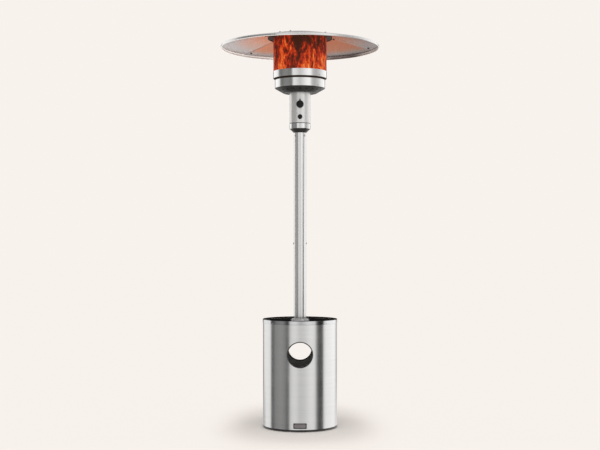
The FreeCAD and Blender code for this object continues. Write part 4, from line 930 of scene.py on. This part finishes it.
def control_housing():
    """The housing of the controls, with holes for them and a groove at its foot, darkened with painted shade.
    """
    outer, bottom, top = extent("control_housing")
    sheet, tongue, foot = 1.2 * MM, outer - 1.3 * MM, high("housing_collar") + 3 * MM
    outline = [(tongue - sheet, bottom), (tongue, bottom), (tongue, foot)]
    outline += [(outer, level) for level in evenly(foot, top, 16)]
    outline += [(outer - sheet, level) for level in evenly(top, foot + sheet, 16)]
    outline.append((tongue - sheet, foot + sheet))
    piece = lathe("housing_made", outline, 128)
    for radius, level in ((KNOB_HOLE, KNOB_LEVEL), (IGNITER_HOLE, IGNITER_LEVEL)):
        cut(piece, forward(drill(radius, 0, outer * 1.2, 32), level))
    fit(piece, "control_housing", finish="satin_housing")
    # The groove at the foot takes the lid's near-black finish: painted shade.
    paint(piece, "matt_lid", lambda face: face.center.z < foot and face.center.xy.length > tongue - sheet / 2)


def knob():
    """A round knob drawn out to a pointer, with a raised grip and a pale line on its tip."""
    lowest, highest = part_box("control_knob")
    back, front = -highest.y, -lowest.y
    radius, tip = reach("control_knob"), highest.z - KNOB_LEVEL
    neck, nose, nose_turn = 5.5 * MM, 2.2 * MM, 1.2
    shoulder = math.asin(neck / radius)
    outline = arc(QUARTER - shoulder, shoulder - 3 * QUARTER, 44, radius)
    outline += arc(QUARTER + nose_turn, QUARTER - nose_turn, 6, nose, centre=(0, tip - nose))
    face = back + (front - back) * 0.45
    base = bevelled(slab("knob_base", outline, back, face), 1.2 * MM, 3)
    half = 5.2 * MM
    grip = arc(0, math.pi, 10, half, centre=(0, radius - 1.5 * MM - half))
    grip += [(-x, -y) for x, y in grip]
    bar = bevelled(slab("knob_grip", grip, face - MM, front), 1.6 * MM, 3)
    hub_radius, hub_top = radius * 0.72, face + 2 * MM
    hub = lathe("knob_hub", rounded([(0, face - MM), (hub_radius, face - MM), (hub_radius, hub_top, 1),
                                     (0, hub_top)]), 48)
    fit(forward(joined("knob_made", base, hub, bar), KNOB_LEVEL), "control_knob")
    start, end, half = tip - 9 * MM, tip - 2.5 * MM, 0.6 * MM
    stripe = [(-half, start), (half, start), (half, end), (-half, end)]
    line = forward(slab("knob_line", stripe, face - 0.5 * MM, face + 0.15 * MM), KNOB_LEVEL)
    line.data.materials.append(MATERIALS["pointer_paint"])
    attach(line, "control_knob")


def igniter():
    """A ribbed bezel and a dished button."""
    outer, bore = reach("igniter_bezel"), reach("igniter_body") + 0.05 * MM
    seat, face = reach("control_housing") - 1.4 * MM, -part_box("igniter_bezel")[0].y
    ring = outer - 0.5 * MM
    section = rounded([(bore, seat), (ring, seat), (ring, face, 1.1), (bore, face, 0.4)])
    rib = slab("rib", wedge(outer - MM, outer, 0.45 * MM, 0.3 * MM), seat, face - 1.2 * MM)
    bezel = joined("bezel_made", lathe("bezel_ring", section, 64), ring_of("ribs", rib, 36))
    fit(forward(bezel, IGNITER_LEVEL), "igniter_bezel")
    radius = reach("igniter_button")
    back, front = -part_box("igniter_button")[1].y, -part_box("igniter_button")[0].y
    section = rounded([
        (0, back), (radius, back), (radius, front - 0.3 * MM, 1.4), (radius * 0.72, front, 0.8),
        (radius * 0.4, front - MM, 2), (0, front - 1.2 * MM)])
    fit(forward(lathe("button_made", section, 48), IGNITER_LEVEL), "igniter_button")


# Post

def posts():
    """The two tubes: the lower one welded to its flange, the upper one with a rolled lower edge."""
    radius, joint, top = extent("upper_post")
    sheet, plate = 1.5 * MM, 4 * MM
    inner = radius - sheet
    turned("upper_post", "upper_post", [
        (inner, joint, 0.3), (radius, joint, 0.6), (radius, top, 0.4), (inner, top)], 96, "satin_post")
    flange, bottom, tip = extent("lower_post")
    plate_top, step = bottom + plate, joint - 3 * MM
    turned("lower_post", "lower_post", [
        (inner, bottom), (flange, bottom, 0.5), (flange, plate_top, 0.8), (radius, plate_top, 4),
        (radius, joint, 0.6), (SPIGOT, joint), (SPIGOT, tip, 0.5), (SPIGOT - sheet, tip),
        (SPIGOT - sheet, step), (inner, step)], 96, "satin_post")


# Tank housing

SHELL_RADIUS, SHELL_SHEET = reach("tank_shell"), 1.2 * MM
HOLE_LEVEL, HOLE_RADIUS = middle("front_hole_trim"), 61 * MM
# The section of the rubber trim, in millimetres: inwards from the hole's edge, out from the wall,
# and the rounding.
TRIM_SECTION = [(-5, 2, 1.6), (-5, 0.1, 0.3), (-1.6, 0.1, 0), (-1.6, -1.3, 0), (-5, -1.3, 0.3),
                (-5, -3.1, 1.6), (0, -3.1, 1.4), (0, 2, 1.4)]


def shell_seam(bottom):
    """A narrow lap and its row of spot welds."""
    outside, end = SHELL_RADIUS + 0.45 * MM, low("shell_rim") - 0.3 * MM
    start, width = math.radians(128), math.radians(4)
    lap = lathe("lap", tube(SHELL_RADIUS - 0.3 * MM, outside, bottom + MM, end), 4, start, width)
    welds = []
    for level in evenly(bottom + 20 * MM, end - 15 * MM, 20):
        spot = lathe("weld", [(0, 0), (2.2 * MM, 0), (2.0 * MM, 0.25 * MM), (0, 0.35 * MM)], 12)
        seat = Matrix.Rotation(start + width / 2, 4, "Z") @ at(outside - 0.05 * MM, level) @ FACE_OUT
        welds.append(moved(spot, seat))
    return [lap] + welds


def shell():
    """The round wall with its two hand holes and a spot-welded seam down the back left."""
    bottom, top, inner = low("tank_shell"), high("tank_shell"), SHELL_RADIUS - SHELL_SHEET
    outline = [(SHELL_RADIUS, level) for level in evenly(bottom, top, 36)]
    outline += [(inner, level) for level in evenly(top, bottom, 36)]
    piece = lathe("shell_wall", outline, 256)
    beyond = SHELL_RADIUS * 1.2
    cut(piece, forward(drill(HOLE_RADIUS + 1.7 * MM, -beyond, beyond, 96), HOLE_LEVEL))
    piece = fit(joined("shell_made", piece, *shell_seam(bottom)), "tank_shell")
    paint(piece, "shell_inside", lambda face: looks_in(face, 0.5)
          and face.center.xy.length < SHELL_RADIUS - 0.5 * SHELL_SHEET)


def lid():
    """The rim band, the black lid, and the bright ring round the post."""
    outer, bottom, top = extent("shell_rim")
    band_in, fold, seat = SHELL_RADIUS + 0.05 * MM, SHELL_RADIUS - 3.7 * MM, high("tank_shell") + 0.1 * MM
    # The band's finish darkens two stretches with a painted reflection.
    piece = turned("shell_rim", "shell_rim", [
        (band_in, bottom), (outer, bottom, 1.3), (outer, top, 2), (fold, top, 2), (fold, seat, 0.5),
        (band_in, seat)], 256, "rolled_rim", 6)
    paint(piece, "matt_lid", lambda face: face.normal.z > 0.3 or looks_in(face))
    edge, flange_end, top = extent("cover_plate")
    sheet, bore = 1.5 * MM, 42 * MM
    inside, under = edge - sheet, top - sheet
    # The two beads, each a step down or up in the lid's face.
    beads = [(58 * MM, 0), (62 * MM, 1.2 * MM), (172 * MM, 1.2 * MM), (176 * MM, 0)]
    lower = [(radius, under - dip, 3) for radius, dip in beads]
    upper = [(radius, top - dip, 3) for radius, dip in reversed(beads)]
    rim = [(inside, under, 0.6), (inside, flange_end), (edge, flange_end), (edge, top, 1.8)]
    turned("lid", "cover_plate", [(bore, under)] + lower + rim + upper + [(bore, top)], 192, "matt_lid")
    radius, ring_low, ring_top = extent("cover_collar")
    bore, neck, throat, flange = 40 * MM, 41.7 * MM, 42.5 * MM, top + 2.4 * MM
    turned("ring", "cover_collar", [
        (bore, ring_low), (neck, ring_low), (neck, top), (radius, top, 0.4), (radius, flange, 1.2),
        (throat, flange, 1.5), (throat, ring_top, 1.0), (bore, ring_top, 0.8)])


def hole_trims():
    """A rubber trim swept round each hand hole, over both faces of the wall."""
    section = rounded([(inward * MM, proud * MM, size) for inward, proud, size in TRIM_SECTION])
    for node, side in (("front_hole_trim", -1), ("rear_hole_trim", 1)):
        mesh = bmesh.new()
        rings = []
        for turn in evenly(0, FULL_TURN, 96)[:-1]:
            ring = []
            for inward, proud in section:
                radius = HOLE_RADIUS - inward
                x, rise = radius * math.cos(turn), radius * math.sin(turn)
                depth = math.sqrt((SHELL_RADIUS + proud) ** 2 - x * x)
                ring.append(mesh.verts.new((x, side * depth, HOLE_LEVEL + rise)))
            rings.append(ring)
        bridge(mesh, zip(rings, rings[1:] + rings[:1]))
        fit(solid_object(node + "_made", mesh), node)


def badge_slab(name, half, tall, corner, bottom, top):
    """A flat plate with rounded corners, as wide and as tall as twice its halves."""
    outline = []
    for quarter, (sign_x, sign_y) in enumerate(((1, 1), (-1, 1), (-1, -1), (1, -1))):
        centre = sign_x * (half - corner), sign_y * (tall - corner)
        outline += arc(quarter * QUARTER, (quarter + 1) * QUARTER, 5, corner, centre=centre)
    return slab(name, outline, bottom, top)


def badge():
    """A bare plate bent to the housing, with rounded corners and a raised border."""
    level, base = middle("badge_plate"), SHELL_RADIUS + 0.05 * MM
    half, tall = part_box("badge_plate")[1].x, high("badge_plate") - level
    border_x, border_y = half - 3.8 * MM, tall - 3.8 * MM
    back = badge_slab("badge_back", half, tall, 2.5 * MM, 0, 1.0 * MM)
    border = badge_slab("badge_frame", half, tall, 2.5 * MM, 0.5 * MM, 1.6 * MM)
    cut(border, badge_slab("badge_window", border_x, border_y, 1.2 * MM, 0, 3 * MM))
    piece = joined("badge_made", back, bevelled(border, 0.3 * MM))
    mesh = bmesh.new()
    mesh.from_mesh(piece.data)
    long_edges = [edge for edge in mesh.edges if edge.calc_length() > 6 * MM]
    bmesh.ops.subdivide_edges(mesh, edges=long_edges, cuts=7)
    bmesh.ops.triangulate(mesh, faces=[face for face in mesh.faces if len(face.verts) > 4])
    for vert in mesh.verts:
        x, y, out = vert.co
        vert.co = ((base + out) * math.sin(x / base), -(base + out) * math.cos(x / base), level + y)
    mesh.to_mesh(piece.data)
    mesh.free()
    fit(piece, "badge_plate")
    paint(piece, "badge_field", lambda face: abs(face.center.x) < border_x and face.normal.y < -0.5
          and abs(face.center.z - level) < border_y and face.center.xy.length < base + 1.3 * MM)


# Base

def base():
    """The pressed pan, the cast weight and the rubber feet."""
    outer, bottom, lip_top = extent("base_pan")
    sheet, lip, ledge = 2 * MM, 186 * MM, bottom + 7.7 * MM
    turned("base_pan", "base_pan", [
        (0, bottom), (outer, bottom, 3), (outer, ledge, 1.2), (lip, ledge, 0.8), (lip, lip_top, 0.8),
        (lip - sheet, lip_top, 0.8), (lip - sheet, ledge - sheet, 0.5), (outer - sheet, ledge - sheet, 0.4),
        (outer - sheet, bottom + sheet, 1), (0, bottom + sheet)], 192)
    outer, bottom, top = extent("base_weight")
    bore, sunk = 20 * MM, top - 2.5 * MM
    turned("base_weight", "base_weight", [
        (bore, bottom), (outer, bottom, 2), (outer - 2 * MM, top, 4), (outer - 22 * MM, top, 1),
        (outer - 24 * MM, sunk, 2), (60 * MM, sunk, 2), (58 * MM, top, 1), (bore, top, 1)], 160)
    radius, tall = 12 * MM, high("foot_pads")
    pad = lathe("pad", rounded([(0, 0), (radius - MM, 0, 0.8), (radius, tall, 0.4), (0, tall)]), 40)
    ring = (reach("foot_pads") - radius) * math.sqrt(2)
    fit(ring_of("foot_pads_made", moved(pad, at(ring, 0)), 4, 45), "foot_pads")


def wheels():
    """Two moulded wheels: a ribbed tyre, a rim, seven spokes and a hub."""
    rim, rim_in, hub, bore = 44 * MM, 40 * MM, 15 * MM, 6.3 * MM
    for node in ("wheel_right", "wheel_left"):
        lowest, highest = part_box(node)
        half, radius = (highest.x - lowest.x) / 2, (highest.z - lowest.z) / 2
        tyre_half, rim_half, spoke_half, web = half - 2 * MM, half - 4 * MM, half - 7 * MM, 1.5 * MM
        bar = wedge(hub - MM, rim_in + MM, 4.5 * MM, 3 * MM)
        spoke = bevelled(slab("spoke", bar, -spoke_half, spoke_half), MM)
        pieces = [
            lathe("tyre", tube(rim, radius - 1.5 * MM, -tyre_half, tyre_half, 0, 5), 96),
            lathe("felloe", tube(rim_in, rim + 0.5 * MM, -rim_half, rim_half, 1, 1), 96),
            lathe("nave", tube(bore, hub, -half, half, 0.5, 1.5), 48),
            lathe("web", tube(hub - MM, rim_in + MM, -web, web), 96),
            ring_of("spokes", spoke, 7, 90)]
        block = wedge(radius - 2.5 * MM, radius, 1.2 * MM, 1.0 * MM)
        for side, start in ((-1, 0), (1, 3.75)):
            edges = sorted((side * 1.5 * MM, side * (tyre_half - 3 * MM)))
            pieces.append(ring_of("treads", slab("tread", block, *edges), 48, start))
        seat = Matrix.Translation((lowest + highest) / 2) @ FACE_OUT
        fit(moved(joined(node + "_made", *pieces), seat), node)


# Stage, light and camera

BACKGROUND = screen_colour(248, 242, 237)
SKY_LIGHT = 0.61
# How much brighter the studio shows in metal, straight ahead and from below.
MIRROR_GAIN, LOW_GAIN = 1.25, 1.15
# What brushed metal mirrors all round, from straight behind through the left, the front and
# the right to behind again: the place in the turn and its brightness. The housing of the bottle
# mirrors the lower round, and the burner the upper one.
LOWER_ROUND = [
    (0.0, 0.10), (0.055, 0.18), (0.088, 0.66), (0.12, 0.80), (0.208, 0.77), (0.226, 0.10), (0.250, 0.12),
    (0.272, 0.22), (0.33, 0.255), (0.370, 0.20), (0.386, 0.11), (0.401, 0.13), (0.416, 0.60), (0.445, 0.69),
    (0.470, 0.66), (0.50, 0.53), (0.54, 0.58), (0.59, 0.75), (0.628, 0.72), (0.652, 0.14), (0.668, 0.05),
    (0.706, 0.05), (0.722, 0.72), (0.745, 0.84), (0.875, 0.94), (0.910, 0.56), (0.950, 0.36), (1.0, 0.30),
]
UPPER_ROUND = [
    (0.0, 0.60), (0.04, 0.95), (0.14, 0.98), (0.200, 0.80), (0.218, 0.26), (0.245, 0.14), (0.296, 0.215),
    (0.341, 0.215), (0.383, 0.17), (0.400, 0.17), (0.415, 0.86), (0.462, 0.70), (0.50, 0.52), (0.538, 0.70),
    (0.577, 0.88), (0.617, 1.0), (0.638, 0.86), (0.655, 0.52), (0.704, 0.42), (0.755, 0.54), (0.816, 0.86),
    (0.90, 1.0), (0.96, 1.0), (1.0, 0.60),
]
# The floor beyond the object from left to right.
FLOOR_BEYOND = [(0.0, 0.40), (0.44, 0.46), (0.49, 0.54), (0.51, 0.70), (0.56, 0.72), (1.0, 0.70)]
BACK_WALL, NEAR_FLOOR, CEILING = (0.03, 0.03, 0.03), (0.045, 0.045, 0.045), (0.60, 0.59, 0.58)
# The lights from above, as their share and how far they lean, in degrees, and the card below.
SUNS, SUN_SOFTNESS = [(0.18, -3), (0.08, 5), (0.13, 12)], 9
CARD_LIGHT, CARD_SOFTNESS, CARD_WAY = 0.45, 30, (-0.45, 0.45, 0.77)
# Where the floor's shadow fades out, how deep that shadow is squeezed, and the share of the floor
# that shines by itself, close to the base and far from it.
SHADOW_REACH = 0.26, 0.52
SHADOW_SHAPE = 1, 0.37, 1
FLOOR_SOFTNESS = 0.04, 0.86
LENS, SENSOR, LENS_SHIFT, EYE = 69.4, 36, 0.0283, (0, -5.95, 0.949)


def studio_world():
    """Plain light for matt surfaces, the background for the camera, and a banded studio for metal."""
    world = bpy.data.worlds.new("studio")
    bpy.context.scene.world = world
    tree = emptied(world)
    world.cycles.sampling_method = "NONE"
    path = add(tree, "ShaderNodeLightPath").outputs
    parts = parts_of(tree, add(tree, "ShaderNodeTexCoord").outputs["Generated"])
    height, ahead = parts["Z"], parts["Y"]
    around = maths(tree, "ARCTAN2", parts["X"], maths(tree, "MULTIPLY", ahead, -1.0))
    turn = maths(tree, "MULTIPLY_ADD", around, 1 / FULL_TURN, 0.5)
    upper = step_up(tree, height, 0.02, 0.10)
    studio = tinted(tree, upper, ramp(tree, turn, LOWER_ROUND), ramp(tree, turn, UPPER_ROUND))
    # A dark wall low behind the object, a warmer floor beyond it and a dark floor close to it.
    behind = maths(tree, "MULTIPLY", step_up(tree, ahead, 0.86, 0.95), step_up(tree, height, 0.02, 0.05))
    studio = tinted(tree, maths(tree, "MULTIPLY", behind, 0.94), studio, BACK_WALL)
    beyond = ramp(tree, maths(tree, "MULTIPLY_ADD", parts["X"], 0.5, 0.5), FLOOR_BEYOND)
    far = maths(tree, "MULTIPLY", step_up(tree, ahead, 0.60, 0.85), step_up(tree, height, -0.11, -0.16))
    studio = tinted(tree, far, studio, beyond)
    studio = tinted(tree, step_up(tree, height, -0.55, -0.70), studio, NEAR_FLOOR)
    studio = tinted(tree, step_up(tree, height, 0.35, 0.75), studio, CEILING)
    gain = mapped(tree, height, -0.17, -0.08, LOW_GAIN, MIRROR_GAIN)
    studio = add(tree, "ShaderNodeVectorMath", {0: studio, "Scale": gain}, operation="SCALE").outputs[0]
    plain = (SKY_LIGHT, SKY_LIGHT * 0.985, SKY_LIGHT * 0.97)
    seen = tinted(tree, path["Is Glossy Ray"], plain, studio)
    shown = maths(tree, "MAXIMUM", path["Is Camera Ray"], path["Is Transmission Ray"])
    seen = tinted(tree, shown, seen, BACKGROUND)
    light = add(tree, "ShaderNodeBackground", {"Color": seen, "Strength": 1.0}).outputs[0]
    add(tree, "ShaderNodeOutputWorld", {"Surface": light})


def floor():
    """A wide pale floor. It keeps the object's shadow, which fades out round the base. Metal sees
    past it to the studio, and the light from below shines through it."""
    mesh = bmesh.new()
    bmesh.ops.create_grid(mesh, x_segments=1, y_segments=1, size=60)
    piece = mesh_object("floor", mesh)
    material = bpy.data.materials.new("floor")
    tree = emptied(material)
    lit = add(tree, "ShaderNodeBsdfDiffuse", {"Color": (*BACKGROUND, 1)}).outputs[0]
    own = add(tree, "ShaderNodeEmission", {"Color": (*BACKGROUND, 1), "Strength": 1.0}).outputs[0]
    away = step_up(tree, length_of(tree, object_place(tree, SHADOW_SHAPE)), *SHADOW_REACH)
    close, distant = FLOOR_SOFTNESS
    fade = maths(tree, "MULTIPLY_ADD", away, distant - close, close)
    shaded = add(tree, "ShaderNodeMixShader", {0: fade, 1: lit, 2: own}).outputs[0]
    clear = add(tree, "ShaderNodeBsdfTransparent").outputs[0]
    path = add(tree, "ShaderNodeLightPath").outputs
    open_way = maths(tree, "MAXIMUM", path["Is Glossy Ray"], path["Is Shadow Ray"])
    mixed = add(tree, "ShaderNodeMixShader", {0: open_way, 1: shaded, 2: clear}).outputs[0]
    add(tree, "ShaderNodeOutputMaterial", {"Surface": mixed})
    piece.data.materials.append(material)


def sun(name, share, softness, way):
    """A distant light that shines one way, as wide as its softness in degrees."""
    lamp = bpy.data.lights.new(name, "SUN")
    lamp.energy = math.pi * share
    lamp.angle = math.radians(softness)
    lamp.color = (1.0, 0.99, 0.98)
    item = bpy.data.objects.new(name, lamp)
    item.visible_glossy = False
    item.rotation_euler = Vector(way).to_track_quat("-Z", "Y").to_euler()
    bpy.context.scene.collection.objects.link(item)


def lamps():
    """Soft lights from above, which lay the reflector's shadow round the base and behind it, and
    one from below on the right, as from a white card, for the inside of the reflector's rim."""
    for share, lean in SUNS:
        sun("overhead", share, SUN_SOFTNESS, (0, math.sin(math.radians(lean)), -math.cos(math.radians(lean))))
    sun("card", CARD_LIGHT, CARD_SOFTNESS, CARD_WAY)


def camera():
    """Level, straight in front of the controls, shifted to the photograph's framing."""
    eye = bpy.data.cameras.new("camera")
    eye.lens, eye.sensor_width, eye.shift_y = LENS, SENSOR, LENS_SHIFT
    item = bpy.data.objects.new("camera", eye)
    item.location = EYE
    item.rotation_euler = (QUARTER, 0, 0)
    bpy.context.scene.collection.objects.link(item)
    bpy.context.scene.camera = item


def plain_nodes():
    """Give each CAD node that keeps its own shape its finish."""
    for node, item in frame["nodes"].items():
        for slot in item.material_slots:
            slot.material = MATERIALS[SLOT_OF[node]]


for build in (camera, studio_world, floor, lamps, plain_nodes, crown, panels, reflector_fasteners,
              perforated_screen, bands, dish, top_plate, head_socket, control_housing, knob, igniter, posts,
              wall_fasteners, shell, lid, hole_trims, badge, base, wheels):
    build()

bpy.context.scene.view_settings.view_transform = "Standard"
